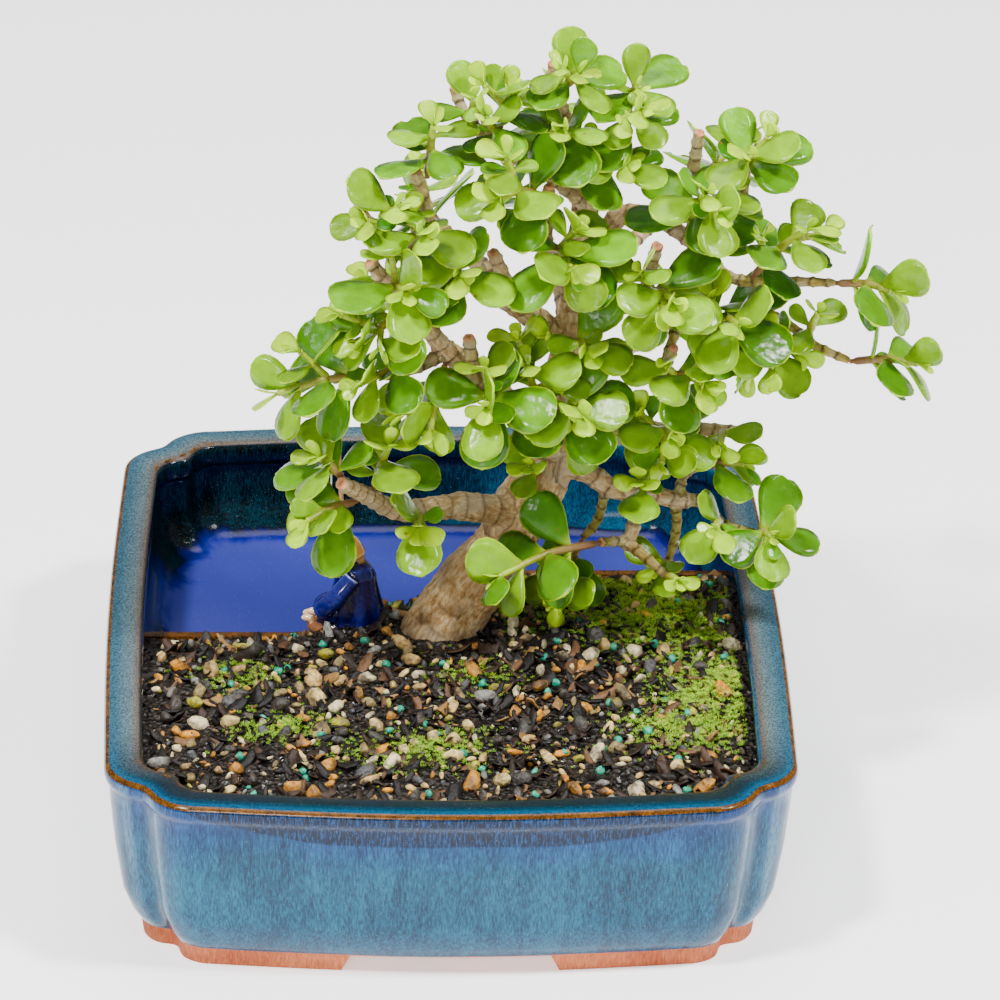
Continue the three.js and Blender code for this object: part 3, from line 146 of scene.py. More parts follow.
# Leafy stems: piece, point on the wood, tip, pairs of leaves, largest leaf, side shoots
SPRAYS = [
    ("spray_left_tip", (-20, -22, 147), (-51, -28, 144), 4, 19, 1),
    ("spray_low_left_up", (-23, -21, 107), (-18, -30, 128), 3, 18, 0),
    ("spray_low_left_side", (-27, -27, 112), (-38, -32, 125), 3, 17, 0),
    ("spray_low_left_end", (-24, -23, 108), (-42, -37, 107), 3, 18, 0),
    ("spray_low_left_front", (-8, -11, 97), (-9, -27, 100), 2, 19, 0),
    ("spray_knot_left", (46, -10, 86), (15, -30, 85), 4, 18, 0),
    ("spray_twig_low", (42, 8, 78), (33, -12, 67), 3, 15, 0),
    ("spray_knot_right", (66, -10, 75), (69, -17, 77), 1, 14, 0),
    ("spray_right_twig", (68, 4, 72), (64, -3, 74), 2, 14, 0),
    ("spray_low_right_top", (60, 0, 97), (57, -12, 108), 2, 17, 0),
    ("spray_right_shoot", (78, 8, 103), (90, 7, 104), 3, 15, 0),
    ("spray_low_right_end", (94, -2, 85), (97, -15, 91), 4, 16, 0),
    ("spray_low_right_front", (83, 0, 88), (80, -14, 93), 2, 17, 0),
    ("spray_right_mid", (63, 16, 111), (67, -4, 119), 3, 18, 2),
    ("spray_right_mid_end", (84, 18, 110), (82, 0, 114), 2, 15, 0),
    ("spray_front_centre", (34, 10, 117), (37, -24, 137), 4, 19, 2),
    ("spray_front_left", (13, -8, 135), (10, -34, 143), 4, 19, 2),
    ("spray_front_low", (-1, -14, 150), (-6, -31, 134), 3, 19, 1),
    ("spray_front_upper", (28, 0, 120), (22, -20, 150), 4, 18, 2),
    ("spray_trunk_middle", (37, 12, 142), (40, -16, 153), 3, 18, 2),
    ("spray_trunk_low", (28, 7, 98), (24, -13, 113), 2, 15, 0),
    ("spray_stub_left", (-18, -19, 175), (-14, -34, 180), 3, 19, 1),
    ("spray_left_inner", (-11, -18, 167), (-26, -31, 162), 3, 18, 2),
    ("spray_left_under", (-8, -17, 149), (-27, -34, 150), 3, 17, 1),
    ("spray_upper_left_front", (0, -7, 172), (2, -28, 183), 3, 19, 2),
    ("spray_upper_left", (-13, -11, 181), (-9, -28, 196), 3, 19, 2),
    ("spray_upper_left_end", (-22, -14, 189), (-16, -26, 203), 3, 18, 1),
    ("spray_upper_left_top", (-8, -10, 200), (-6, -14, 223), 4, 15, 0),
    ("spray_lime_upright", (14, 4, 208), (9, -14, 226), 4, 14, 0),
    ("spray_front_riser", (28, -7, 198), (13, -30, 208), 3, 19, 2),
    ("spray_top_left", (5, 4, 216), (6, -10, 230), 3, 13, 0),
    ("spray_top_left_inner", (12, 4, 209), (16, -5, 229), 4, 16, 1),
    ("spray_top", (30, 3, 226), (36, -4, 235), 3, 16, 1),
    ("spray_top_right", (52, 12, 222), (54, 8, 226), 3, 16, 1),
    ("spray_top_right_front", (49, 14, 208), (54, -4, 224), 3, 18, 3),
    ("spray_top_front", (38, 12, 204), (31, -12, 222), 4, 17, 2),
    ("spray_front_inner", (29, -2, 181), (34, -24, 183), 4, 19, 3),
    ("spray_leader_twig", (44, 8, 198), (50, -6, 208), 3, 17, 2),
    ("spray_right_riser", (70, 13, 176), (73, -13, 202), 4, 19, 2),
    ("spray_far_riser", (87, 8, 200), (86, -4, 210), 4, 18, 1),
    ("spray_far_right", (88, 6, 165), (104, -5, 187), 4, 17, 2),
    ("spray_red_stub", (58, 4, 163), (64, -22, 172), 3, 19, 2),
    ("spray_right_front", (80, 14, 148), (84, -18, 162), 4, 19, 2),
    ("spray_right_stub", (64, 4, 136), (74, -18, 143), 3, 18, 2),
    ("spray_far_low", (120, 6, 139), (140, 0, 141), 4, 15, 0),
    ("spray_far_low_inner", (107, 9, 145), (109, 1, 157), 2, 14, 0),
    ("spray_far_up", (114, 1, 167), (130, -4, 167), 4, 17, 0),
    ("spray_right_under", (96, 12, 151), (95, -8, 143), 3, 18, 2),
    ("spray_back_low", (62, 52, 124), (80, 62, 134), 4, 18, 1),
    ("spray_back_low_left", (-6, 46, 130), (-24, 54, 142), 4, 18, 1),
    ("spray_back_mid", (26, 56, 160), (20, 72, 174), 4, 18, 1),
    ("spray_back_right", (74, 54, 172), (90, 62, 186), 4, 18, 1),
    ("spray_back_top", (33, 41, 190), (28, 50, 200), 4, 18, 1),
    ("spray_back_top_left", (-2, 34, 170), (-10, 43, 175), 4, 18, 1),
]


# Growth: the same rules and the same draws as the solids, so every leaf sits where its solid is
def seeded_random(seed):
    state = seed & 0xFFFFFFFF

    def draw():
        nonlocal state
        state = (state + 0x6D2B79F5) & 0xFFFFFFFF
        t = ((state ^ (state >> 15)) * (state | 1)) & 0xFFFFFFFF
        t ^= (t + ((t ^ (t >> 7)) * (t | 61))) & 0xFFFFFFFF
        return (t ^ (t >> 14)) / 4294967296
    return draw


def unit(v):
    return v / math.sqrt(v @ v)


def smoothstep(low, high, value):
    t = np.clip((value - low) / (high - low), 0, 1)
    return t * t * (3 - 2 * t)


class SmoothRoute:
    """A centripetal curve through points, walked by its length."""

    def __init__(self, points):
        self.points = np.asarray(points, float)[:, :3]
        self.times = np.linspace(0, 1, 201)
        walked = np.linalg.norm(np.diff(self.at_time(self.times), axis=0), axis=1)
        self.lengths = np.concatenate([[0], np.cumsum(walked)])

    def at_time(self, t):
        count = len(self.points)
        p = (count - 1) * np.asarray(t, float)
        k = np.minimum(np.floor(p).astype(int), count - 2)
        w = (p - k)[:, None]
        before = 2 * self.points[0] - self.points[1]
        after = 2 * self.points[-1] - self.points[-2]
        if count == 2:
            before = after
        row = np.vstack([before, self.points, after])
        p0, p1, p2, p3 = row[k], row[k + 1], row[k + 2], row[k + 3]
        d0, d1, d2 = (np.sqrt(np.linalg.norm(b - a, axis=1))[:, None]
                      for a, b in ((p0, p1), (p1, p2), (p2, p3)))
        t1 = ((p1 - p0) / d0 - (p2 - p0) / (d0 + d1) + (p2 - p1) / d1) * d1
        t2 = ((p2 - p1) / d1 - (p3 - p1) / (d1 + d2) + (p3 - p2) / d2) * d1
        c2 = -3 * p1 + 3 * p2 - 2 * t1 - t2
        c3 = 2 * p1 - 2 * p2 + t1 + t2
        return p1 + w * (t1 + w * (c2 + w * c3))

    def frames(self, radii, steps):
        """Places, tangents, normals, binormals and radii at even steps along the route."""
        t = np.interp(np.linspace(0, 1, steps + 1) * self.lengths[-1], self.lengths, self.times)
        at = self.at_time(t)
        ahead = self.at_time(np.minimum(1, t + 1e-4)) - self.at_time(np.maximum(0, t - 1e-4))
        tangent = ahead / np.linalg.norm(ahead, axis=1)[:, None]
        first = np.abs(tangent[0])
        axis = np.zeros(3)
        axis[2 - int(np.argmin(first[::-1]))] = 1
        normal = [np.cross(tangent[0], unit(np.cross(tangent[0], axis)))]
        for i in range(1, steps + 1):
            turn = np.cross(tangent[i - 1], tangent[i])
            n = normal[-1]
            if math.sqrt(turn @ turn) > 2.220446049250313e-16:
                turn = unit(turn)
                theta = math.acos(max(-1.0, min(1.0, float(tangent[i - 1] @ tangent[i]))))
                n = (n * math.cos(theta) + np.cross(turn, n) * math.sin(theta)
                     + turn * (turn @ n) * (1 - math.cos(theta)))
            normal.append(n)
        normal = np.array(normal)
        radius = np.interp(t * (len(self.points) - 1), np.arange(len(self.points)), radii)
        return {"at": at, "tangent": tangent, "normal": normal,
                "binormal": np.cross(tangent, normal), "radius": radius}


def route_frames(route, steps):
    return SmoothRoute(route).frames([p[3] for p in route], steps)


def wood_steps(route):
    return max(2, int(math.floor(1.1 * (len(route) - 1) + 0.5)))


def divider_y(x):
    return DIVIDER_LEFT_Y + (DIVIDER_RIGHT_Y - DIVIDER_LEFT_Y) * smoothstep(*DIVIDER_SWING, x)


def soil_height(x, y):
    to_divider = divider_y(x) - y
    held = np.exp(-((x - FIGURE_AT[0]) / 13) ** 2)
    drop = (SOIL_DROP - 2 * held) * (1 - smoothstep(1, 30 - 22 * held, to_divider))
    mound = 3 * np.exp(-((x + 2) ** 2 + (y + 4) ** 2) / 1500)
    ripple = 0.7 * np.sin(x * 0.11 + 1) * np.cos(y * 0.09) + 0.4 * np.sin(x * 0.23 - y * 0.19)
    return SOIL_LEVEL + mound + ripple - drop


class Crown:
    """Everything a new leaf must stay clear of, and the leaves grown so far."""

    def __init__(self):
        self.bars = []
        self.leaves = []
        self.stacked = None

    def add_bar(self, start, end, radius_start, radius_end, stem=-1):
        self.bars.append((*start, *end, radius_start, radius_end, stem))
        self.stacked = None

    def add_route(self, route, steps, stem=-1):
        f = route_frames(route, steps)
        for i in range(steps):
            self.add_bar(f["at"][i], f["at"][i + 1], f["radius"][i], f["radius"][i + 1], stem)

    def bar_distance(self, points, wood_only=False):
        """Distance of each point (rows) to each bar (columns), bars having flat ends."""
        if self.stacked is None:
            self.stacked = np.array(self.bars)
        bars = self.stacked[self.stacked[:, 8] < 0] if wood_only else self.stacked
        start, along = bars[:, :3], bars[:, 3:6] - bars[:, :3]
        squared = (along ** 2).sum(1)
        offset = np.asarray(points)[:, None, :] - start
        t = (offset * along).sum(2) / squared
        nearest = np.clip(t, 0, 1)
        beyond = np.abs(t - nearest) * np.sqrt(squared)
        radius = bars[:, 6] + (bars[:, 7] - bars[:, 6]) * nearest
        outside = np.linalg.norm(offset - along * t[:, :, None], axis=2) - radius
        return np.where(beyond > 0, np.hypot(beyond, np.maximum(0, outside)), outside)

    def near_leaf(self, points, distance):
        """True where a point lies within a distance of a leaf's blade, leaf by leaf."""
        rows = self.leaves
        root, along, side, up = (np.array([leaf[k] for leaf in rows]) for k in ("root", "dir", "side", "up"))
        length = np.array([leaf["length"] for leaf in rows])
        offset = np.asarray(points)[:, None, :] - root
        u = (offset * along).sum(2) / length
        half = leaf_half_width(np.minimum(1, u), length)
        across = np.abs((offset * side).sum(2))
        w = np.minimum(1, across / half)
        off = np.abs((offset * up).sum(2) - leaf_rise(u, w, length))
        inside = (u >= 0.1) & (u <= 1 + 1 / length) & (across <= half + 1) & (off < distance)
        return inside & ((offset ** 2).sum(2) <= (length + 3) ** 2)

    def is_clear(self, leaf):
        points = leaf_points(leaf, CHECKED_U, CHECKED_W)
        x, y, z = points.T
        if (z < soil_height(x, y) + 4).any() or ((z < 62) & (np.abs(x) > 84)).any():
            return False
        distance = self.bar_distance(points)
        if (distance[:, self.stacked[:, 8] != leaf["stem"]] < LEAF_TO_STEM).any():
            return False
        if not self.leaves:
            return True
        same = [other["spray"] == leaf["spray"] for other in self.leaves]
        near = np.where(same, LEAF_TO_SISTER, LEAF_TO_LEAF)
        return not self.near_leaf(points, near).any()


CHECKED_U = np.repeat([0.2, 0.36, 0.52, 0.68, 0.84, 0.98], 5)
CHECKED_W = np.tile([-1, -0.5, 0, 0.5, 1], 6)


def leaf_half_width(u, length):
    widest = LEAF_HALF_WIDTH * length
    (u1, w1), (u2, w2) = LEAF_OUTLINE
    w0 = LEAF_ROOT_HALF_WIDTH / widest
    first = w0 + (w1 - w0) * u / u1
    second = w1 + (w2 - w1) * (u - u1) / (u2 - u1)
    third = w2 + (0.3 - w2) * (u - u2) / (1.02 - u2)
    share = np.where(u <= u1, first, np.where(u <= u2, second, np.where(u <= 1.02, third, 0.3)))
    return widest * share


def leaf_rise(u, w, length):
    return length * (LEAF_CUP * w * w * u - LEAF_DROOP * u * u)


def leaf_points(leaf, u, w):
    length = leaf["length"]
    return (leaf["root"] + np.outer(u * length, leaf["dir"])
            + np.outer(w * leaf_half_width(u, length), leaf["side"])
            + np.outer(leaf_rise(u, w, length), leaf["up"]))


def grow_leaf(crown, stem, node, facing, spread, length, random):
    """One leaf tried at a few turns about its stem, until it is clear of all before it."""
    sway = (random() - 0.5) * 0.5
    droop = 0.05 + 0.15 * random()
    at, tangent, normal, binormal, radius = node
    outward = unit(at - CROWN_CENTRE)

    def across(angle):
        return normal * math.cos(angle) + binormal * math.sin(angle)

    root = at + across(facing) * (0.6 * radius)
    for k in range(24):
        turn = facing + (0, 0.2, -0.2, 0.4, -0.4, 0.6, -0.6, 0.8)[k % 8]
        tilt = spread + (0, -0.25, 0.3)[k // 8]
        way = tangent * math.cos(tilt) + across(turn) * math.sin(tilt)
        if length > SMALL_LEAF:
            way[2] = LEAF_LEVELLING * way[2] - droop
        way = unit(way)
        natural = unit(tangent - way * (tangent @ way))
        wanted = LIGHT + tangent * TURN_TO_TIP + outward * TURN_OUTWARD
        crossed = np.cross(way, natural)
        lean = math.atan2(wanted @ crossed, wanted @ natural)
        twist = min(LARGEST_TWIST, max(-LARGEST_TWIST, lean + sway))
        up = natural * math.cos(twist) + crossed * math.sin(twist)
        leaf = {"spray": stem["spray"], "stem": stem["id"], "root": root, "dir": way,
                "side": np.cross(up, way), "up": up, "length": length * (1 - 0.02 * k)}
        if crown.is_clear(leaf):
            crown.leaves.append(leaf)
            return leaf
    return None


def grow_stem(crown, stem, random):
    """Pairs of leaves, each pair a quarter turn on from the last."""
    f = route_frames(stem["route"], STEM_STEPS)
    stem["frames"] = f
    stem["nodes"] = []
    for pair in range(stem["pairs"]):
        from_tip = min(3, stem["pairs"] - 1 - pair)
        bare = stem["bare"]
        along = bare + (1 - bare) * pair / (stem["pairs"] - 1) if stem["pairs"] > 1 else 1
        upper = int(math.floor(along * STEM_STEPS + 0.5))
        node = tuple(f[k][upper] for k in ("at", "tangent", "normal", "binormal", "radius"))
        children = {}
        for facet in (pair % 2, pair % 2 + 2):
            size = stem["leaf"] * (0.5, 0.85, 1, 1)[from_tip] * (0.88 + 0.24 * random())
            facing = stem["roll"] + facet * math.pi / 2
            spread = (0.6, 0.95, 1.15, 1.25)[from_tip]
            leaf = grow_leaf(crown, stem, node, facing, spread, size, random)
            if leaf:
                leaf["from_tip"] = from_tip
                children[facet] = leaf
        stem["nodes"].append({"station": upper, "children": children})


def side_shoot(crown, spray, node, facet, number, random):
    """A short shoot from a bare facet, kept where two or more of its leaves find room."""
    f = spray["frames"]
    at, tangent, normal, binormal, radius = (
        f[k][node["station"]] for k in ("at", "tangent", "normal", "binormal", "radius"))
    facing = spray["roll"] + facet * math.pi / 2
    out = normal * math.cos(facing) + binormal * math.sin(facing)
    start = at - tangent * (NODE_HEIGHT / 2) + out * (0.9 * radius)
    way = unit(out + tangent * 0.6 + unit(start - CROWN_CENTRE) * 0.4 + LIGHT * 0.4)
    reach = 8 + 4 * random()
    ahead = start + np.outer(np.array([0.35, 0.6, 0.85, 1.1, 1.3]) * reach, way)
    if (ahead[:, 2] < soil_height(ahead[:, 0], ahead[:, 1]) + 8).any():
        return None
    distance = crown.bar_distance(ahead)
    if (distance[:, crown.stacked[:, 8] != spray["id"]] < SHOOT_ROOM).any():
        return None
    if crown.near_leaf(ahead, SHOOT_ROOM).any():
        return None
    route = [(*(start + way * (share * reach)), size)
             for share, size in ((0, 1), (0.15, 0.95), (0.55, 0.9), (1, 0.75))]
    first = route_frames(route, 1)
    towards = -(binormal * math.cos(facing) - normal * math.sin(facing)) - tangent
    roll = math.atan2(towards @ first["binormal"][0], towards @ first["normal"][0]) + math.pi / 4
    shoot = {"spray": spray["id"], "id": number, "route": route, "roll": roll, "bare": 0.5,
             "pairs": 2, "leaf": 0.9 * spray["leaf"]}
    before = len(crown.leaves)
    grow_stem(crown, shoot, random)
    if len(crown.leaves) < before + 2:
        del crown.leaves[before:]
        return None
    crown.add_route(route, 2, number)
    return shoot


def stem_route(crown, start, tip):
    """A stem's foot is a small disc, moved out of the wood until it is just clear."""
    start, tip = np.array(start, float), np.array(tip, float)
    way = unit(tip - start)
    across = unit(np.array([-way[1], way[0], 0.01]))
    upward = unit(np.cross(way, across))
    disc = np.array([(0, 0), (1, 0), (-1, 0), (0, 1), (0, -1)]) * 0.8
    disc = np.outer(disc[:, 0], across) + np.outer(disc[:, 1], upward)
    while crown.bar_distance(start + disc, wood_only=True).min() < GAP + 0.1:
        start = start + way * 0.1
    middle = (start + tip) / 2
    middle[2] += 0.06 * math.dist(start, tip)
    shoulder = start + (middle - start) * 0.12
    return [(*start, 0.7), (*shoulder, STEM_RADIUS), (*middle, STEM_RADIUS), (*tip, 0.85)]


def grow_crown():
    """All leafy stems with their leaves and side shoots, in the order of the solids."""
    crown = Crown()
    for route in WOOD.values():
        crown.add_route(route, wood_steps(route))
    sprays = []
    for index, (name, start, tip, pairs, leaf, shoots) in enumerate(SPRAYS):
        sprays.append({"name": name, "spray": index, "id": index, "pairs": pairs, "leaf": leaf,
                       "bare": 0.3, "shoots_left": shoots, "route": stem_route(crown, start, tip)})
    for spray in sprays:
        crown.add_route(spray["route"], 3, spray["id"])
    crown.add_bar(ROD_FOOT, ROD_TIP, ROD_RADIUS, ROD_RADIUS, -2)
    crown.add_bar((-34.4, 17, 116), (-34, 17, 60), LINE_RADIUS, LINE_RADIUS, -2)
    crown.add_bar((*FIGURE_AT[:2], 52), (*FIGURE_AT[:2], 70), 9, 7, -2)
    for index, spray in enumerate(sprays):
        random = seeded_random(100 + index)
        spray["roll"] = random() * math.pi / 2
        grow_stem(crown, spray, random)
    for index, spray in enumerate(sprays):
        random = seeded_random(500 + index)
        spray["shoots"] = []
        for n, node in enumerate(spray["nodes"][:-1]):
            for facet in range(4):
                if facet in node["children"] or not spray["shoots_left"]:
                    continue
                number = 1000 + 100 * index + 10 * n + facet
                shoot = side_shoot(crown, spray, node, facet, number, random)
                if shoot:
                    spray["shoots"].append(shoot)
                    spray["shoots_left"] -= 1
    return crown, sprays


def bud_leaves(crown, sprays):
    """Small leaves from the buds between the pairs, too small for the solids."""
    for index, spray in enumerate(sprays):
        random = seeded_random(2000 + index)
        for stem in (spray, *spray["shoots"]):
            for node in stem["nodes"]:
                place_on_stem = tuple(stem["frames"][k][node["station"]]
                                      for k in ("at", "tangent", "normal", "binormal", "radius"))
                for facet in range(4):
                    if facet in node["children"] or random() > BUD_SHARE:
                        continue
                    length = (0.42 + 0.3 * random()) * stem["leaf"]
                    leaf = grow_leaf(crown, stem, place_on_stem, stem["roll"] + facet * math.pi / 2, 0.8,
                                     length, random)
                    if leaf:
                        leaf["from_tip"] = 1 + int(random() * 3)


# Tools shared by all pieces
def place(points):
    """Millimetres from the middle of the pot's underside, to metres in the object's own frame."""
    return (np.asarray(points, float) - ORIGIN_SHIFT) / 1000


def colour(hex_value):
    """An sRGB hex value as linear red, green, blue and alpha."""
    parts = [int(hex_value[i:i + 2], 16) / 255 for i in (1, 3, 5)]
    return (*(c / 12.92 if c <= 0.04045 else ((c + 0.055) / 1.055) ** 2.4 for c in parts), 1.0)


def first_enabled(sockets, name=None):
    return next(s for s in sockets if s.enabled and name in (None, s.name))


def add(tree, kind, settings=None):
    """One node, such as "Mix", or "Math ADD" with its operation; a plain kind is a shader node.

    Lower-case names are its properties, the others its sockets: each takes a value, a hex colour, or a
    node or socket to link. "From" and "To" take both ends of a range, "stops" a colour ramp's
    (position, hex colour) pairs, and "steps" the same without blending.
    """
    kind, _, operation = kind.partition(" ")
    node = tree.nodes.new(kind if "Node" in kind else "ShaderNode" + kind)
    if kind == "Mix":
        node.data_type = "RGBA"
    if operation:
        node.operation = operation
    settings = dict(settings or {})
    for name in ("From", "To"):
        if name in settings:
            settings[name + " Min"], settings[name + " Max"] = settings.pop(name)
    for name, value in settings.items():
        if name in ("stops", "steps"):
            ramp = node.color_ramp
            ramp.interpolation = "LINEAR" if name == "stops" else "CONSTANT"
            while len(ramp.elements) < len(value):
                ramp.elements.new(1)
            for element, (position, hex_value) in zip(ramp.elements, value):
                element.position, element.color = position, colour(hex_value)
            continue
        if isinstance(name, str) and name.islower():
            setattr(node, name, value)
            continue
        socket = node.inputs[name] if isinstance(name, int) else first_enabled(node.inputs, name)
        if isinstance(value, bpy.types.Node):
            value = first_enabled(value.outputs)
        if isinstance(value, bpy.types.NodeSocket):
            tree.links.new(value, socket)
        else:
            socket.default_value = colour(value) if isinstance(value, str) and value[0] == "#" else value
    return node


def new_material(name, settings):
    """A material with one Principled shader, its tree and the object's own coordinates."""
    material = bpy.data.materials.new(name)
    material.use_nodes = True
    tree = material.node_tree
    tree.nodes.clear()
    shader = add(tree, "ShaderNodeBsdfPrincipled", settings)
    output = add(tree, "ShaderNodeOutputMaterial")
    tree.links.new(shader.outputs["BSDF"], output.inputs["Surface"])
    coordinates = add(tree, "ShaderNodeTexCoord").outputs["Object"]
    return material, tree, shader, coordinates


def connect(tree, shader, links):
    for name, source in links.items():
        if isinstance(source, bpy.types.Node):
            source = first_enabled(source.outputs)
        tree.links.new(source, shader.inputs[name])


def new_object(name, points, faces, material=None, edges=()):
    """A mesh object at the origin from millimetre points."""
    mesh = bpy.data.meshes.new(name)
    mesh.from_pydata(place(points).tolist(), list(edges), [list(map(int, face)) for face in faces])
    mesh.shade_smooth()
    piece = bpy.data.objects.new(name, mesh)
    bpy.context.collection.objects.link(piece)
    if material:
        mesh.materials.append(material)
    return piece


def store(mesh, name, values, kind="FLOAT"):
    values = np.asarray(values)
    layer = mesh.attributes.new(name, kind, "POINT")
    layer.data.foreach_set("vector" if kind == "FLOAT_VECTOR" else "value", values.ravel())


def vertices_mm(mesh):
    """Vertex places in the pot's millimetres."""
    flat = np.empty(3 * len(mesh.vertices))
    mesh.vertices.foreach_get("co", flat)
    return flat.reshape(-1, 3) * 1000 + ORIGIN_SHIFT


def set_vertices(mesh, points):
    mesh.vertices.foreach_set("co", place(points).ravel())
    mesh.update()


def freeze(piece):
    """The evaluated piece as a plain mesh, with its modifiers removed."""
    shape = piece.evaluated_get(bpy.context.evaluated_depsgraph_get())
    mesh = bpy.data.meshes.new_from_object(shape)
    piece.modifiers.clear()
    old, piece.data = piece.data, mesh
    bpy.data.meshes.remove(old)
    mesh.name = piece.name
    return piece


def grow(piece, tree, inputs):
    """Runs a geometry tree on a piece, its inputs set by identifier, and keeps the plain mesh."""
    modifier = piece.modifiers.new("Grow", "NODES")
    modifier.node_group = tree
    sockets = {item.name: item.identifier for item in tree.interface.items_tree if item.in_out == "INPUT"}
    for name, value in inputs.items():
        modifier[sockets[name]] = value
    return freeze(piece)


def new_geometry_tree(name, inputs):
    """A geometry tree with its group nodes and named inputs of (kind, default)."""
    tree = bpy.data.node_groups.new(name, "GeometryNodeTree")
    tree.interface.new_socket("Geometry", in_out="INPUT", socket_type="NodeSocketGeometry")
    tree.interface.new_socket("Geometry", in_out="OUTPUT", socket_type="NodeSocketGeometry")
    for label, (kind, default) in inputs.items():
        tree.interface.new_socket(label, in_out="INPUT", socket_type=kind).default_value = default
    return tree, add(tree, "NodeGroupInput"), add(tree, "NodeGroupOutput")


def weld(piece, distance=0.02):
    """Merges doubles (distance in millimetres) and turns all faces outward."""
    shape = bmesh.new()
    shape.from_mesh(piece.data)
    bmesh.ops.remove_doubles(shape, verts=shape.verts, dist=distance / 1000)
    bmesh.ops.recalc_face_normals(shape, faces=shape.faces)
    shape.to_mesh(piece.data)
    shape.free()


def tube(route, sides, steps):
    """Rings of points round a smooth route of (x, y, z, radius), and the faces of the closed tube."""
    f = route_frames(route, steps)
    return skin(f["at"], f["normal"], f["binormal"], f["radius"], sides)


def skin(at, normal, binormal, radius, sides):
    angles = np.linspace(0, 2 * math.pi, sides, endpoint=False)
    across = (normal[:, None, :] * np.cos(angles)[None, :, None]
              + binormal[:, None, :] * np.sin(angles)[None, :, None])
    radius = np.asarray(radius, float)
    radius = radius[:, None] if radius.ndim == 1 else radius
    points = at[:, None, :] + across * radius[:, :, None]
    return loft(points)


def loft(rings):
    """Points and outward faces of a closed skin over rings of equal count, with a centre at each end."""
    rings = np.asarray(rings, float)
    rows, count = rings.shape[:2]
    points = np.concatenate([rings.reshape(-1, 3), rings[0].mean(0)[None], rings[-1].mean(0)[None]])
    i = np.arange(count)
    j = (i + 1) % count
    faces = []
    for r in range(rows - 1):
        a = r * count
        faces += np.stack([a + i, a + j, a + count + j, a + count + i], 1).tolist()
    first, last, top = rows * count, rows * count + 1, (rows - 1) * count
    faces += np.stack([np.full(count, first), j, i], 1).tolist()
    faces += np.stack([np.full(count, last), top + i, top + j], 1).tolist()
    return points, faces


def merged(parts):
    """Several (points, faces) pairs as one."""
    points, faces, start = [], [], 0
    for part_points, part_faces in parts:
        points.append(part_points)
        faces += [[start + int(v) for v in face] for face in part_faces]
        start += len(part_points)
    return np.concatenate(points), faces


def cut(piece, others, operation="DIFFERENCE"):
    """Joins a piece with other pieces by solid geometry; the others are used up."""
    for other in others:
        modifier = piece.modifiers.new("Cut", "BOOLEAN")
        modifier.operation, modifier.object, modifier.solver = operation, other, "MANIFOLD"
        freeze(piece)
        bpy.data.objects.remove(other)
    return piece


def remeshed(piece, voxel, smoothing):
    """One closed skin over all the overlapping parts of a piece (voxel in millimetres)."""
    modifier = piece.modifiers.new("Remesh", "REMESH")
    modifier.mode, modifier.voxel_size, modifier.use_smooth_shade = "VOXEL", voxel / 1000, True
    smooth = piece.modifiers.new("Smooth", "SMOOTH")
    smooth.factor, smooth.iterations = 0.5, smoothing
    return freeze(piece)


# Foliage: leaves and stems of dwarf jade
def leaf_surface_material(look):
    """Living leaf: a waxy skin over pale juicy flesh, so it glows at the thin rim and glints on top."""
    material, tree, shader, here = new_material("leaf_skin_waxy", {
        "IOR": 1.48, "Specular IOR Level": 0.3, "Subsurface Weight": 0.12,
        "Subsurface Radius": (0.7, 1.0, 0.08),
        "Subsurface Scale": 0.0012})
    age, tone = (add(tree, "Attribute", {"attribute_name": name}).outputs["Fac"] for name in ("age", "tone"))
    blade = add(tree, "UVMap", {"uv_map": "blade"})
    split = add(tree, "SeparateXYZ", {"Vector": blade})
    grown = add(tree, "Mix", {"Factor": tone, "A": (*look.leaf_dark, 1), "B": (*look.leaf_light, 1)})
    aged = add(tree, "Mix", {"Factor": age, "A": (*look.leaf_young, 1), "B": grown})
    # Patches of paler and deeper green, about 4 mm across
    patches = add(tree, "TexNoise", {"Vector": here, "Scale": 160.0, "Detail": 5.0})
    patch = add(tree, "MapRange", {"Value": patches, "From": (0.35, 0.7), "To": (0.8, 1.2)})
    mottled = add(tree, "VectorMath SCALE", {"Vector": aged, "Scale": patch})
    # The rim, half a millimetre of clear pale flesh; v is 1 there
    rim = add(tree, "MapRange", {"Value": split.outputs["Y"], "From": (0.9, 1.0), "To": (0.0, 0.8)})
    edged = add(tree, "Mix", {"Factor": rim, "A": mottled, "B": (*look.leaf_rim, 1)})
    root = add(tree, "MapRange", {"Value": split.outputs["X"], "From": (0.0, 0.22), "To": (0.7, 0.0)})
    rooted = add(tree, "Mix", {"Factor": root, "A": edged, "B": "#A8BE22"})
    # Few small brown scars, under a millimetre across
    scars = add(tree, "TexVoronoi", {"Vector": here, "Scale": 95.0, "Randomness": 1.0})
    scar = add(tree, "MapRange", {"Value": scars, "From": (0.045, 0.07), "To": (0.75, 0.0)})
    finished = add(tree, "Mix", {"Factor": scar, "A": rooted, "B": "#7A4A22"})
    # Low swellings of the water cells, 2 to 3 mm across, that ripple the highlights
    swell = add(tree, "TexNoise", {"Vector": here, "Scale": 330.0, "Detail": 1.0})
    pores = add(tree, "TexNoise", {"Vector": here, "Scale": 2600.0, "Detail": 2.0})
    height = add(tree, "Math MULTIPLY_ADD", {0: pores, 1: 0.12, 2: swell})
    bump = add(tree, "Bump", {"Strength": 0.35, "Distance": 0.0009, "Height": height})
    gloss = add(tree, "MapRange", {"Value": patches, "From": (0.3, 0.7), "To": (0.14, 0.3)})
    connect(tree, shader, {"Base Color": finished, "Normal": bump, "Roughness": gloss})
    return material


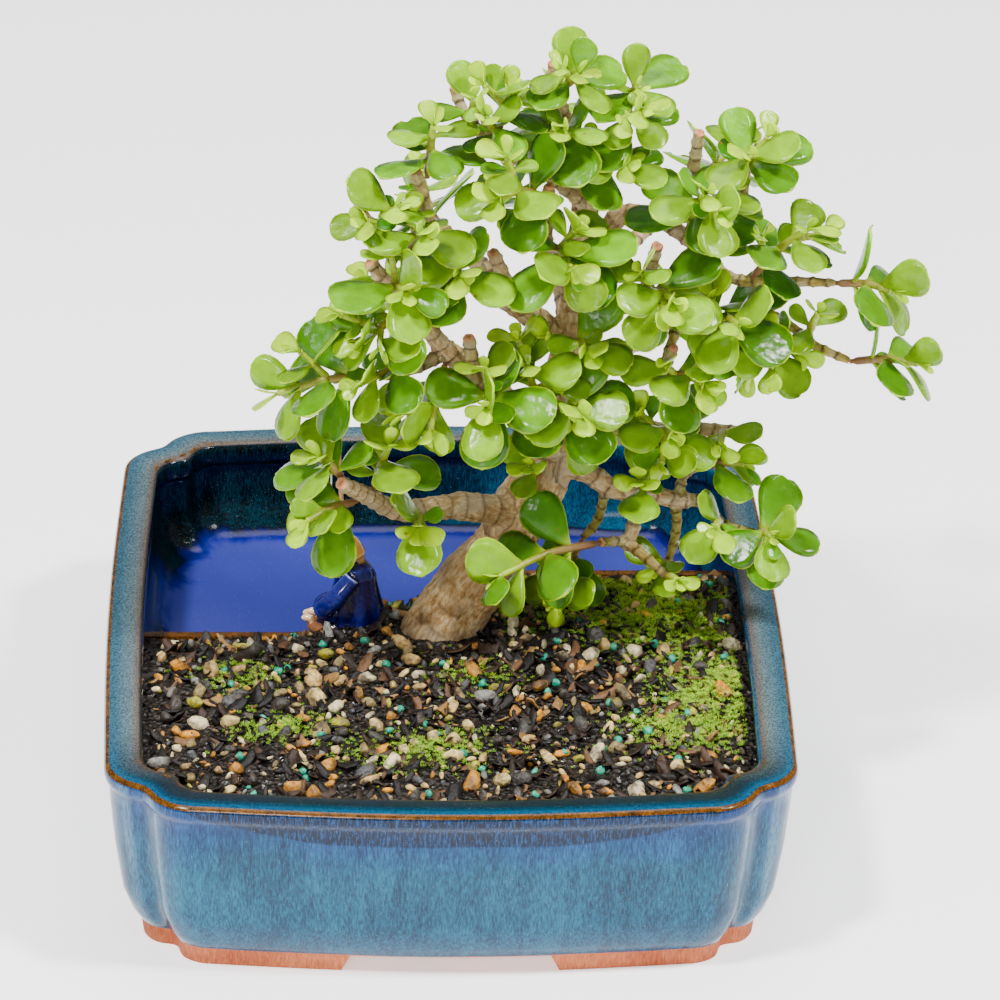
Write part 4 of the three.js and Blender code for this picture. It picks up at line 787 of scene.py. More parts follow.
def green_stem_material():
    """Young stem: smooth green skin, ruddy brown where it is oldest, with a fine scar at each pair."""
    material, tree, shader, here = new_material("stem_skin_green", {
        "Roughness": 0.42, "IOR": 1.45, "Subsurface Weight": 0.1, "Subsurface Scale": 0.001,
        "Subsurface Radius": (0.6, 1.0, 0.2)})
    age = add(tree, "Attribute", {"attribute_name": "age"}).outputs["Fac"]
    flecks = add(tree, "TexNoise", {"Vector": here, "Scale": 700.0, "Detail": 3.0})
    mixed = add(tree, "Math MULTIPLY_ADD", {0: flecks, 1: 0.35, 2: age})
    tint = add(tree, "ValToRGB", {"Fac": mixed, "stops": [(0.12, "#A4C41C"), (0.45, "#8FA01C"),
        (0.8, "#86702A"), (1.0, "#74502C")]})
    node_scar = add(tree, "Attribute", {"attribute_name": "scar"}).outputs["Fac"]
    finished = add(tree, "Mix", {"Factor": node_scar, "A": tint, "B": "#7B5B33"})
    bump = add(tree, "Bump", {"Strength": 0.3, "Distance": 0.0006, "Height": flecks})
    connect(tree, shader, {"Base Color": finished, "Normal": bump})
    return material


STEM_FOOT = 1.1
LEAF_STATIONS = np.array([0, 0.12, 0.25, 0.4, 0.55, 0.7, 0.82, 0.9, 0.96, 0.992])
# Half width, cup, droop, side bend and notch of each leaf shape, all against its length
LEAF_SHAPES = ((0.37, 0.05, 0.13, 0.0, 0.0), (0.40, 0.10, 0.08, 0.03, 0.012),
               (0.35, 0.0, 0.16, -0.03, -0.02), (0.39, 0.08, 0.18, 0.02, -0.01),
               (0.36, -0.04, 0.10, -0.02, 0.015), (0.41, 0.06, 0.12, 0.0, 0.0))


def leaf_shape(name, width, cup, droop, side_bend, notch):
    """One fleshy blade of length 1: two skins joined at the rim, thick in the middle."""
    across = np.array([-1, -0.55, 0, 0.55, 1])
    u, w = np.meshgrid(LEAF_STATIONS, across, indexing="ij")
    swell = np.where(u < 0.7, 0.155 + 0.845 * np.sin(np.clip(u / 0.7, 0, 1) * math.pi / 2) ** 1.35,
                     np.sqrt(np.clip(1 - ((u - 0.7) / 0.303) ** 2, 0, 1)))
    end = (u > 0.98) * notch * (np.abs(w) < 0.1)
    x = u - end
    y = w * swell * width + side_bend * u * u
    middle = cup * w * w * u * (1 - 0.3 * u) - droop * u * u
    thick = 0.055 * np.sqrt(np.clip(1 - w * w, 0, 1)) * (1 - 0.55 * u ** 3) * (0.75 + 0.25 * swell)
    top = np.stack([x, y, middle + 0.8 * thick], -1).reshape(-1, 3)
    bottom = np.stack([x, y, middle - thick], -1).reshape(-1, 3)
    rows, count = u.shape
    index = np.arange(rows * count).reshape(rows, count)
    faces = []
    for r in range(rows - 1):
        for c in range(count - 1):
            quad = [index[r, c], index[r + 1, c], index[r + 1, c + 1], index[r, c + 1]]
            faces += [quad, [v + rows * count for v in reversed(quad)]]
    for r, order in ((0, 1), (rows - 1, -1)):
        for c in range(count - 1):
            a, b = index[r, c], index[r, c + 1]
            faces.append([a, b, b + rows * count, a + rows * count][::order])
    shape = new_object(name, np.concatenate([top, bottom]) * 1000 + ORIGIN_SHIFT, faces)
    weld(shape)
    points = (vertices_mm(shape.data) - ORIGIN_SHIFT) / 1000
    along = points[:, 0]
    half = np.interp(along, LEAF_STATIONS, swell[:, 0]) * width
    from_middle = np.clip(np.abs(points[:, 1] - side_bend * along ** 2) / half, 0, 1)
    rim = np.maximum(from_middle, np.interp(along, [0.8, 0.99], [0, 1]))
    layer = shape.data.uv_layers.new(name="blade")
    corners = np.array([loop.vertex_index for loop in shape.data.loops])
    layer.data.foreach_set("uv", np.stack([along[corners], rim[corners]], 1).ravel())
    return shape


def foliage_tree(leaf_skin, stem_skin, shapes):
    """Stems swept along their lines, and a leaf set on each leaf point."""
    tree, start, end = new_geometry_tree("Leafy stem", {
        "Leaf size": ("NodeSocketFloat", 1.0), "Stem girth": ("NodeSocketFloat", 1.0),
        "Stem sides": ("NodeSocketInt", 10)})
    named = {}
    for name, kind in (("leaf", "BOOLEAN"), ("girth", "FLOAT"), ("turn", "FLOAT_VECTOR"),
                       ("size", "FLOAT"), ("shape", "INT")):
        named[name] = add(tree, "GeometryNodeInputNamedAttribute", {"data_type": kind, "Name": name})
    parts = add(tree, "GeometryNodeSeparateGeometry", {"domain": "POINT",
        "Geometry": start.outputs["Geometry"], "Selection": named["leaf"]})
    lines = add(tree, "GeometryNodeMeshToCurve", {"Mesh": parts.outputs["Inverted"]})
    girth = add(tree, "Math MULTIPLY", {0: named["girth"], 1: start.outputs["Stem girth"]})
    section = add(tree, "GeometryNodeCurvePrimitiveCircle", {"Resolution": start.outputs["Stem sides"],
        "Radius": 0.001})
    swept = add(tree, "GeometryNodeCurveToMesh", {"Curve": lines, "Profile Curve": section, "Scale": girth,
        "Fill Caps": True})
    stems = add(tree, "GeometryNodeSetMaterial", {"Geometry": swept, "Material": stem_skin})
    kinds = add(tree, "GeometryNodeCollectionInfo", {"Collection": shapes, "Separate Children": True,
        "Reset Children": True})
    size = add(tree, "Math MULTIPLY", {0: named["size"], 1: start.outputs["Leaf size"]})
    leaves = add(tree, "GeometryNodeInstanceOnPoints", {"Points": parts.outputs["Selection"],
        "Instance": kinds, "Pick Instance": True, "Instance Index": named["shape"], "Rotation": named["turn"],
        "Scale": size})
    real = add(tree, "GeometryNodeRealizeInstances", {"Geometry": leaves})
    green = add(tree, "GeometryNodeSetMaterial", {"Geometry": real, "Material": leaf_skin})
    both = add(tree, "GeometryNodeJoinGeometry")
    tree.links.new(stems.outputs[0], both.inputs[0])
    tree.links.new(green.outputs[0], both.inputs[0])
    smooth = add(tree, "GeometryNodeSetShadeSmooth", {"Geometry": both})
    tree.links.new(smooth.outputs[0], end.inputs[0])
    return tree


def stem_line(stem, oldest):
    """Points, girths, ages and scars along one stem, swelling a little at each pair of leaves."""
    f = stem["frames"]
    girth = f["radius"].copy()
    scar = np.zeros(STEM_STEPS + 1)
    length = math.dist(f["at"][0], f["at"][-1])
    along = np.linspace(0, 1, STEM_STEPS + 1)
    for node in stem["nodes"]:
        distance = (along - node["station"] / STEM_STEPS) * length
        girth += 0.2 * np.exp(-(distance / 0.7) ** 2)
        scar = np.maximum(scar, 0.55 * np.exp(-((distance + 0.9) / 0.35) ** 2))
    girth[-1] *= 0.45
    age = oldest * (1 - along) ** 0.8
    return f["at"], girth * 1.06, age, scar


def spray_piece(spray, crown, tree, settings):
    """One leafy stem with its side shoots as a single mesh, made by the geometry tree."""
    random = seeded_random(900 + spray["spray"])
    points, edges = [], []
    rows = {"leaf": [], "girth": [], "turn": [], "size": [], "shape": [], "age": [], "tone": [], "scar": []}

    def add_point(at, **values):
        points.append(at)
        for key, row in rows.items():
            row.append(values.get(key, (0, 0, 0) if key == "turn" else 0))

    def add_leaf(root, way, side, up, length, age):
        turn = Matrix(np.stack([way, side, up], 1).tolist()).to_euler("XYZ")
        add_point(root, leaf=True, turn=tuple(turn), size=length / 1000, shape=int(random() * 6),
                  age=age, tone=random())

    stems = [(spray, 0.95 if len(spray["nodes"]) > 2 else 0.7)]
    stems += [(shoot, 0.35) for shoot in spray["shoots"]]
    for stem, oldest in stems:
        first = len(points)
        at, girth, age, scar = stem_line(stem, oldest)
        if stem is spray:
            # The foot reaches into the wood, so no gap shows
            foot = at[0] - STEM_FOOT * stem["frames"]["tangent"][0]
            at = np.concatenate([foot[None], at])
            girth, age, scar = (np.concatenate([row[:1], row]) for row in (girth, age, scar))
        for values in zip(at, girth, age, scar):
            add_point(values[0], girth=values[1], age=values[2], scar=values[3])
        edges += [(first + i, first + i + 1) for i in range(len(at) - 1)]
        tangent, normal, binormal = (stem["frames"][k][-1] for k in ("tangent", "normal", "binormal"))
        for facet in (stem["pairs"] % 2, stem["pairs"] % 2 + 2):
            facing = stem["roll"] + facet * math.pi / 2
            across = normal * math.cos(facing) + binormal * math.sin(facing)
            way = unit(tangent + 0.32 * across)
            up = unit(tangent - way * (tangent @ way))
            length = (0.24 + 0.14 * random()) * stem["leaf"]
            add_leaf(at[-1] + 0.3 * across, way, np.cross(up, way), up, length, 0.0)
    for leaf in crown.leaves:
        if leaf["spray"] == spray["spray"]:
            age = (0.3, 0.72, 0.95, 1.0)[leaf["from_tip"]]
            add_leaf(leaf["root"], leaf["dir"], leaf["side"], leaf["up"], leaf["length"], age)
    piece = new_object(spray["name"], points, [], edges=edges)
    kinds = {"leaf": "BOOLEAN", "turn": "FLOAT_VECTOR", "shape": "INT"}
    for key, row in rows.items():
        store(piece.data, key, row, kinds.get(key, "FLOAT"))
    grow(piece, tree, {"Leaf size": settings.leaf_size, "Stem girth": settings.stem_girth})
    return piece


# Trunk and woody branches
def bark_material(look):
    """Dwarf jade bark: dry, tan and grey, in soft rings where old leaves fell, lightly furrowed."""
    material, tree, shader, here = new_material("bark_dry", {"Roughness": 0.82, "IOR": 1.45})
    girth, green, cut_end, heart, ring = (
        add(tree, "Attribute", {"attribute_name": name}).outputs["Fac"]
        for name in ("girth", "green", "cut", "heart", "ring"))
    # Long fibres run with the branch: noise stretched along it, threads 1 mm wide
    around = add(tree, "Attribute", {"attribute_name": "around"}).outputs["Vector"]
    fibres = add(tree, "TexNoise", {"Vector": around, "Scale": 1.0, "Detail": 5.0, "Roughness": 0.62})
    patches = add(tree, "TexNoise", {"Vector": here, "Scale": 120.0, "Detail": 4.0})
    old = add(tree, "ValToRGB", {"Fac": fibres, "stops": [(0.3, "#8A6030"), (0.42, "#C09458"),
        (0.54, "#E2BC82"), (0.7, "#F6E2BA")]})
    young = add(tree, "ValToRGB", {"Fac": fibres, "stops": [(0.28, "#80623E"), (0.45, "#A88A5E"),
        (0.6, "#C4AA82"), (0.78, "#DCCAA8")]})
    shoots = add(tree, "ValToRGB", {"Fac": fibres, "stops": [(0.28, "#6E5C18"), (0.45, "#8A7C1E"),
        (0.6, "#9C9A2C"), (0.78, "#B4B04A")]})
    twigs = add(tree, "Mix", {"Factor": green, "A": young, "B": shoots})
    aged = add(tree, "Mix", {"Factor": girth, "A": twigs, "B": old})
    grey = add(tree, "MapRange", {"Value": patches, "From": (0.48, 0.66), "To": (0.0, 0.6)})
    weathered = add(tree, "Mix", {"Factor": grey, "A": aged, "B": "#B0A084"})
    # Darker brown plates, some 12 mm across, and a damp foot where the trunk leaves the soil
    plates = add(tree, "TexNoise", {"Vector": here, "Scale": 85.0, "Detail": 5.0, "Distortion": 0.6})
    plate = add(tree, "MapRange", {"Value": plates, "From": (0.5, 0.62), "To": (0.0, 0.4)})
    plated = add(tree, "Mix", {"Factor": plate, "A": weathered, "B": "#86592C"})
    level = add(tree, "Math MULTIPLY_ADD", {0: plates, 1: -0.03, 2: add(tree, "SeparateXYZ",
        {"Vector": here}).outputs["Z"]})
    damp = add(tree, "MapRange", {"Value": level, "From": (0.034, 0.048), "To": (0.85, 0.0)})
    damped = add(tree, "Mix", {"Factor": damp, "A": plated, "B": "#2E1E0E"})
    ringed = add(tree, "Mix", {"Factor": ring, "A": damped, "B": "#38220F"})
    wood = add(tree, "Mix", {"Factor": heart, "A": (*look.cut_wood, 1), "B": "#8A5A33"})
    finished = add(tree, "Mix", {"Factor": cut_end, "A": ringed, "B": wood})
    rough = add(tree, "Math MULTIPLY_ADD", {0: ring, 1: -0.5, 2: fibres})
    bump = add(tree, "Bump", {"Strength": 0.9, "Distance": 0.0009, "Height": rough})
    connect(tree, shader, {"Base Color": finished, "Normal": bump})
    return material


def swell_noise(points, size, seed):
    """Smooth seeded noise of the given size in millimetres, one value from -1 to 1 for each point."""
    return np.array([noise.noise(Vector(p) / size + Vector((seed, 7.3 * seed, 0))) for p in points])


def wood_piece(settings):
    """All wood as one grown skin: fine tubes joined, then ringed and furrowed along each branch."""
    parts, centres = [], []
    for name, route in WOOD.items():
        walk = SmoothRoute(route)
        steps = max(4, int(walk.lengths[-1] / 1.1))
        sides = 40 if name == "trunk" else 14
        f = route_frames(route, steps)
        parts.append(skin(f["at"], f["normal"], f["binormal"], f["radius"] * 1.03, sides))
        mm = np.linspace(0, walk.lengths[-1], steps + 1)
        for i in range(steps + 1):
            centres.append((f["at"][i], f["tangent"][i], f["normal"][i], f["binormal"][i],
                            f["radius"][i], mm[i], walk.lengths[-1] - mm[i]))
    piece = new_object("tree_wood", *merged(parts))
    remeshed(piece, 0.72, 3)
    points = vertices_mm(piece.data)
    tree = kdtree.KDTree(len(centres))
    for i, row in enumerate(centres):
        tree.insert(row[0], i)
    tree.balance()
    columns = [np.array([row[k] for row in centres]) for k in range(7)]
    at, tangent, normal, binormal, radius, mm, left = columns
    nearest = np.empty(len(points), int)
    for i, point in enumerate(points):
        best = min(tree.find_n(point, 8), key=lambda found: found[2] - radius[found[1]])
        nearest[i] = best[1]
    offset = points - at[nearest]
    lengthwise = (offset * tangent[nearest]).sum(1)
    along = mm[nearest] + lengthwise
    girth = np.clip((radius[nearest] - 1.5) / 6, 0, 1)
    x, y = (offset * normal[nearest]).sum(1), (offset * binormal[nearest]).sum(1)
    angle = np.arctan2(y, x)
    # Leaf scars ring the younger wood every 5 to 7 mm; the old trunk keeps only faint ones
    spacing = 4.6 + 2.5 * girth
    uneven = 0.25 * np.sin(3 * angle + along * 0.3)
    phase = (along + uneven) / spacing
    ring = np.exp(-(((phase - np.round(phase)) * spacing) / 0.5) ** 2) * (1 - 0.7 * girth)
    ends = np.clip((lengthwise + 0.5 - left[nearest]) / 0.3, 0, 1)
    outward = offset - tangent[nearest] * lengthwise[:, None]
    from_axis = np.linalg.norm(outward, axis=1)
    outward /= np.maximum(from_axis, 1e-6)[:, None]
    knobs = swell_noise(points, 9.0, 3) * (0.25 + 1.1 * girth)
    a, b = np.cos(angle) * radius[nearest], np.sin(angle) * radius[nearest]
    furrows = swell_noise(np.stack([a, b, along * 0.16], 1), 2.2, 5) * (0.12 + 0.55 * girth)
    wrinkles = swell_noise(np.stack([a * 0.4, b * 0.4, along], 1), 2.4, 8) * (0.1 + 0.42 * girth)
    push = (0.4 * ring + knobs * 0.6 + furrows * 0.6 + wrinkles) * (1 - ends)
    set_vertices(piece.data, points + outward * push[:, None])
    store(piece.data, "girth", girth)
    store(piece.data, "green", np.clip((2.3 - radius[nearest]) / 0.7, 0, 1) * 0.85)
    scarred = np.exp(-(((phase - np.round(phase)) * spacing + 0.8) / 0.42) ** 2) * (1 - 0.75 * girth)
    store(piece.data, "ring", np.clip(scarred * 0.95, 0, 1))
    store(piece.data, "cut", ends)
    store(piece.data, "heart", np.clip(1.2 - from_axis / radius[nearest] * 2.2, 0, 1) * 0.8)
    store(piece.data, "around", np.stack([a, b, along * 0.45], 1) * 0.9, "FLOAT_VECTOR")
    piece.data.materials.clear()
    piece.data.materials.append(bark_material(settings))
    piece.data.shade_smooth()
    return piece


# Pot
OUTER_ROWS = [(0, 10.6, 3), (FOOT_HEIGHT, 10, 3), (6.3, 9.2, 3), (10, 7.2, 2.8), (17, 4.8, 2.4),
              (32, 2.8, 2.2), (44, 1.8, 2.0), (52.2, 1.3, 1.8), (53.2, 0.9, 1.8), (54.2, 0.25, 1.8),
              (55.2, 0, 1.8), (56.8, 0, 1.8), (57.8, 0.35, 1.8), (58.3, 1.0, 1.8), (58.5, 2.0, 1.9)]
TOP_ROWS = [(58.55, 3.5, 2.0), (58.6, 5.2, 2.2), (58.55, 7.0, 2.4), (58.45, 8.6, 2.6), (58.2, 9.8, 2.7),
            (57.6, 10.7, 2.8), (56.6, 11.15, 2.8), (54.5, 11.2, 2.8), (52.2, 11.0, 2.8), (51.2, 10.2, 2.7),
            (50.2, 9.2, 2.6), (48.5, 9.0, 2.6)]
BASIN_ROWS = [(40, 10, 2.4), (36, 11.2, 2.3), (32, 13, 2.2), (30, 14.8, 2.1), (28.6, 16.6, 2),
              (27.7, 18.6, 2), (27.25, 21, 2), (27.2, 25, 2)]
SOIL_ROOM_ROWS = [(SOIL_FLOOR, 16, 2), (40, 10, 2.4), (50, 8.6, 2.6), (51.6, 11.2, 2.8), (57.4, 11.2, 2.8)]


def pot_outline(inset, notch, corner_points=25, side_points=23):
    """The pot's plan at one height: bowed sides, and cut corners with a shallow groove in each."""
    a, b = POT_HALF_WIDTH - inset, POT_HALF_DEPTH - inset
    cut_back = CORNER_CUT - inset * (2 - math.sqrt(2))
    s = np.linspace(0, 1, corner_points)
    swell = cut_back * math.sqrt(2) / 8 * (1 - (2 * s - 1) ** 4)
    groove = notch * np.exp(-((s - 0.5) / CORNER_NOTCH_REACH) ** 2)
    out = (swell - groove) / math.sqrt(2)
    corner = np.stack([a - cut_back * s + out, b - cut_back * (1 - s) + out], 1)
    quarters = [corner, corner[::-1] * (-1, 1), corner * (-1, -1), corner[::-1] * (1, -1)]
    bows = [(0, END_BOW), (-SIDE_BOW, 0), (0, -END_BOW), (SIDE_BOW, 0)]
    t = (np.arange(side_points) + 1) / (side_points + 1)
    outline = []
    for k, (quarter, bow) in enumerate(zip(quarters, bows)):
        start, stop = quarter[-1], quarters[(k + 1) % 4][0]
        side = start + np.outer(t, stop - start) + np.outer(np.cos((t - 0.5) * math.pi), bow)
        outline += [quarter, side]
    return np.concatenate(outline)


def finer(rows, step):
    """Rows of (height, inset, notch) along a smooth profile, about a step apart in millimetres."""
    rows = np.array(rows, float)
    walked = np.concatenate([[0], np.cumsum(np.linalg.norm(np.diff(rows[:, :2], axis=0), axis=1))])
    marks = [0.0]
    for low, high in zip(walked[:-1], walked[1:]):
        count = max(1, int((high - low) / step))
        marks += list(low + (high - low) * np.arange(1, count + 1) / count)
    return np.stack([np.interp(marks, walked, rows[:, k]) for k in range(3)], 1)


def pot_loft(name, rows, step=4.0, grown=0.0):
    rings = []
    for z, inset, notch in finer(rows, step):
        ring = pot_outline(inset + grown, notch)
        rings.append(np.column_stack([ring, np.full(len(ring), z)]))
    return new_object(name, *loft(rings))


def divider_block(name, near, far, low, high):
    """An upright block that follows the divider, between two distances from its middle line."""
    reach = 140
    x = np.concatenate([[-reach], np.arange(-62, 48, 2.0), [reach]])
    front = np.column_stack([x, divider_y(x) + near if near > -reach else np.full(len(x), near)])
    back = np.column_stack([x, divider_y(x) + far if far < reach else np.full(len(x), far)])
    ring = np.concatenate([front, back[::-1]])
    rings = [np.column_stack([ring, np.full(len(ring), z)]) for z in (low, high)]
    count = len(ring)
    points = np.concatenate(rings)
    i = np.arange(count)
    j = (i + 1) % count
    sides = np.stack([i, j, count + j, count + i], 1).tolist()
    half = len(front)
    caps = []
    for c in range(half - 1):
        a, b, d, e = c, c + 1, count - 2 - c, count - 1 - c
        caps += [[e, d, b, a], [count + a, count + b, count + d, count + e]]
    return new_object(name, points, sides + caps)


def foot_gap(width, along_x):
    """A cutter for the gap between two feet, its ends slanted."""
    half, slant, reach = width / 2, 3.0, 150.0
    shape = [(-half - slant, -1), (half + slant, -1), (half, FOOT_HEIGHT), (-half, FOOT_HEIGHT)]
    points = [(x, y, z) for y in (-reach, reach) for x, z in shape]
    if along_x:
        points = [(-y, x, z) for x, y, z in points]
    faces = [[0, 1, 2, 3], [7, 6, 5, 4], [0, 4, 5, 1], [1, 5, 6, 2], [2, 6, 7, 3], [3, 7, 4, 0]]
    return new_object("foot_gap", points, faces)


def inset_of(points):
    """Distance in from the rim's outermost outline, seen from above."""
    ring = pot_outline(0, 1.8)
    nxt = np.roll(ring, -1, axis=0)
    edge = nxt - ring
    squared = (edge ** 2).sum(1)
    result = np.empty(len(points))
    for start in range(0, len(points), 4000):
        p = points[start:start + 4000, None, :2]
        t = np.clip(((p - ring) * edge).sum(2) / squared, 0, 1)
        result[start:start + 4000] = np.sqrt((((ring + edge * t[:, :, None]) - p) ** 2).sum(2)).min(1)
    return result


def jun_glaze_material(look):
    """Stoneware under a thick streaked blue glaze that breaks brown where it runs thin on edges."""
    material, tree, shader, here = new_material("jun_glaze_stoneware", {
        "IOR": 1.52, "Specular IOR Level": 0.25})
    where = add(tree, "SeparateXYZ", {"Vector": here})
    across = where.outputs["X"]
    height = add(tree, "Math MULTIPLY", {1: 1000.0, 0: where.outputs["Z"]})
    inset, inside, pool, edge, ridge, on_top, band_foot, depth, ragged, slate = (add(tree, "Attribute",
        {"attribute_name": name}).outputs["Fac"] for name in ("inset", "inside", "pool", "edge", "ridge",
        "top", "band", "depth", "ragged", "slate"))

    # The glaze ran down the wall: flecks half a millimetre wide and 3 mm long, over faint long runs
    flecks = add(tree, "TexNoise", {"Scale": 1.0, "Detail": 3.0, "Roughness": 0.65,
        "Vector": add(tree, "Mapping", {"Vector": here, "Scale": (2100.0, 2100.0, 330.0)})})
    runs = add(tree, "TexNoise", {"Scale": 1.0, "Detail": 4.0, "Vector": add(tree, "Mapping", {"Vector": here,
        "Scale": (300.0, 300.0, 36.0)})})
    clouds = add(tree, "TexNoise", {"Vector": here, "Scale": 38.0, "Detail": 4.0})
    veil = add(tree, "Math MULTIPLY_ADD", {0: runs, 1: 0.45, 2: add(tree, "Math MULTIPLY_ADD", {0: clouds,
        1: 0.55, 2: 0.0})})
    grain = add(tree, "Math MULTIPLY_ADD", {0: flecks, 1: 0.55, 2: add(tree, "Math MULTIPLY_ADD", {0: veil,
        1: 0.45, 2: 0.0})})
    wall = add(tree, "ValToRGB", {"Fac": grain, "stops": [(0.36, "#002034"), (0.46, "#003854"),
        (0.54, "#00506E"), (0.68, "#106A86")]})
    lilac = add(tree, "ValToRGB", {"Fac": grain, "stops": [(0.36, "#001038"), (0.46, "#022458"),
        (0.54, "#083872"), (0.68, "#2A5490")]})
    body = add(tree, "Mix", {"Factor": add(tree, "MapRange", {"Value": add(tree, "Math MULTIPLY_ADD",
        {0: clouds, 1: 26.0, 2: height}), "From": (50.0, 66.0), "To": (0.0, 0.85)}), "A": wall, "B": lilac})
    # A deeper blue drape just under the rim, with a firm foot that rises to nothing at the corners
    drape = add(tree, "MapRange", {"Value": add(tree, "Math MULTIPLY_ADD", {0: flecks, 1: 1.6,
        2: add(tree, "Math MULTIPLY_ADD", {0: clouds, 1: 3.0, 2: height})}), "From": (2.3, 2.9)})
    tree.links.new(band_foot, drape.inputs["From Min"])
    tree.links.new(add(tree, "Math ADD", {0: band_foot, 1: 0.7}).outputs[0], drape.inputs["From Max"])
    draped = add(tree, "Mix", {"Factor": add(tree, "Math MULTIPLY", {0: drape, 1: 0.9}), "A": body,
        "B": add(tree, "ValToRGB", {"Fac": flecks, "stops": [(0.4, "#00040E"), (0.5, "#00102C"),
        (0.62, "#0C3C6C")]})})
    outer = add(tree, "Mix", {"Factor": add(tree, "Math MULTIPLY", {0: ridge, 1: 0.6}), "A": draped,
        "B": add(tree, "ValToRGB", {"Fac": grain, "stops": [(0.4, "#2A6480"), (0.6, "#7896B0")]})})
    # Rim: bright teal beside the outer brown line, then slate towards the inner edge
    rim = add(tree, "ValToRGB", {"Fac": add(tree, "Math MULTIPLY_ADD", {0: flecks, 1: 0.22,
        2: add(tree, "MapRange", {"Value": inset, "From": (0.5, 10.0), "To": (-0.1, 0.9)})}),
        "stops": [(0.05, "#02304A"), (0.2, "#044A6C"), (0.36, "#053248"), (0.56, "#0C202C"),
        (0.86, "#162028"), (1.0, "#20201E")]})
    # Painted reflection: the paler slate rim on the sides and back, where the rim mirrors the bright room
    reflected_slate = add(tree, "ValToRGB", {"Fac": add(tree, "Math MULTIPLY_ADD", {0: flecks, 1: 0.3,
        2: add(tree, "MapRange", {"Value": inset, "From": (0.5, 10.5), "To": (-0.1, 0.9)})}),
        "stops": [(0.05, "#2A5064"), (0.3, "#2E5466"), (0.55, "#44606C"), (0.8, "#566468"),
        (1.0, "#5E5248")]})
    speckled = add(tree, "VectorMath SCALE", {"Vector": add(tree, "Mix", {"Factor": slate, "A": rim,
        "B": reflected_slate}), "Scale": add(tree, "MapRange", {"Value": flecks, "From": (0.36, 0.64),
        "To": (0.3, 1.3)})})
    skin_colour = add(tree, "Mix", {"Factor": on_top, "A": outer, "B": speckled})
    # Inside, painted shade: nearly black on the shaded left, teal on the lit right, with teal streaks and a
    # teal line under the lip
    inside_in_shade = add(tree, "ValToRGB", {"Fac": grain, "stops": [(0.38, "#000305"), (0.48, "#010E16"),
        (0.57, "#032634"), (0.7, "#0A4450")]})
    # The lit inside: teal glaze where the light falls
    clear = add(tree, "ValToRGB", {"Fac": grain, "stops": [(0.38, "#001E34"), (0.48, "#003A5C"),
        (0.58, "#025C84"), (0.7, "#1C7C9C")]})
    lit_towards_right = add(tree, "MapRange", {"Value": add(tree, "Math MULTIPLY_ADD", {0: clouds, 1: 0.05, 2: across}),
        "From": (-0.02, 0.05), "To": (0.0, 0.9)})
    with_inside = add(tree, "Mix", {"Factor": inside, "A": skin_colour, "B": add(tree, "Mix",
        {"Factor": lit_towards_right, "A": inside_in_shade, "B": clear})})
    # Pooled glaze on the compartment's floor: milky blue, deeper in the cove, its shore a little uneven
    milk = add(tree, "TexNoise", {"Vector": here, "Scale": 30.0, "Detail": 3.0, "Distortion": 1.6})
    haze = add(tree, "TexNoise", {"Vector": here, "Scale": 9.0, "Detail": 2.0})
    # Painted leaf shadow: dark frayed fingers eat into the pool's shore, far stronger at the left end
    wave = add(tree, "Math MULTIPLY", {0: ragged, 1: add(tree, "Math SUBTRACT", {0: milk, 1: 0.5})})
    shore = add(tree, "Math MULTIPLY_ADD", {0: wave, 1: 1.0, 2: pool})
    in_pool = add(tree, "MapRange", {"Value": shore, "From": (0.2, 0.26)})
    pooled = add(tree, "ValToRGB", {"Fac": add(tree, "Math MULTIPLY_ADD", {0: haze, 1: 0.12,
        2: add(tree, "MapRange", {"Value": shore, "From": (0.22, 0.8), "To": (-0.06, 0.9)})}),
        "stops": [(0.04, "#000420"), (0.2, "#000A50"), (0.42, "#020E6A"), (0.55, "#141A74"),
        (0.75, "#262C82"), (1.0, "#323886")]})
    with_pool = add(tree, "Mix", {"Factor": in_pool, "A": with_inside, "B": pooled})
    # Brown lines on the rim's edges and the divider, 1 to 2 mm wide, wavering with the glaze
    brown = add(tree, "MapRange", {"Value": add(tree, "Math MULTIPLY_ADD", {0: clouds, 1: 0.35,
        2: add(tree, "Math MULTIPLY_ADD", {0: flecks, 1: 0.2, 2: edge})}), "From": (0.78, 0.92)})
    lined = add(tree, "Mix", {"Factor": brown, "A": with_pool, "B": add(tree, "Mix",
        {"Factor": add(tree, "MapRange", {"Value": add(tree, "Math MULTIPLY_ADD", {0: flecks, 1: 0.6,
        2: add(tree, "Math MULTIPLY_ADD", {0: runs, 1: 0.4, 2: 0.0})}), "From": (0.4, 0.6)}),
        "A": "#241404", "B": (*look.edge_brown, 1)})})
    # Pinholes and crystals, a fifth of a millimetre wide
    dust = add(tree, "TexNoise", {"Vector": here, "Scale": 2600.0, "Detail": 1.0})
    glazed = add(tree, "Mix", {"Factor": add(tree, "MapRange", {"Value": dust, "From": (0.73, 0.77),
        "To": (0.0, 0.3)}), "A": lined, "B": "#9FC3D8"})
    # Bare terracotta feet below an uneven glaze line
    bare = add(tree, "MapRange", {"Value": add(tree, "Math MULTIPLY_ADD", {0: clouds, 1: -3.0, 2: height}),
        "From": (4.3, 4.6), "To": (1.0, 0.0)})
    clay = add(tree, "ValToRGB", {"Fac": add(tree, "Math MULTIPLY_ADD", {0: clouds, 1: 0.5,
        2: add(tree, "Math MULTIPLY_ADD", {0: flecks, 1: 0.5, 2: 0.0})}), "stops": [(0.36, "#8A3E20"),
        (0.5, "#AE5C38"), (0.64, "#C67A50")]})
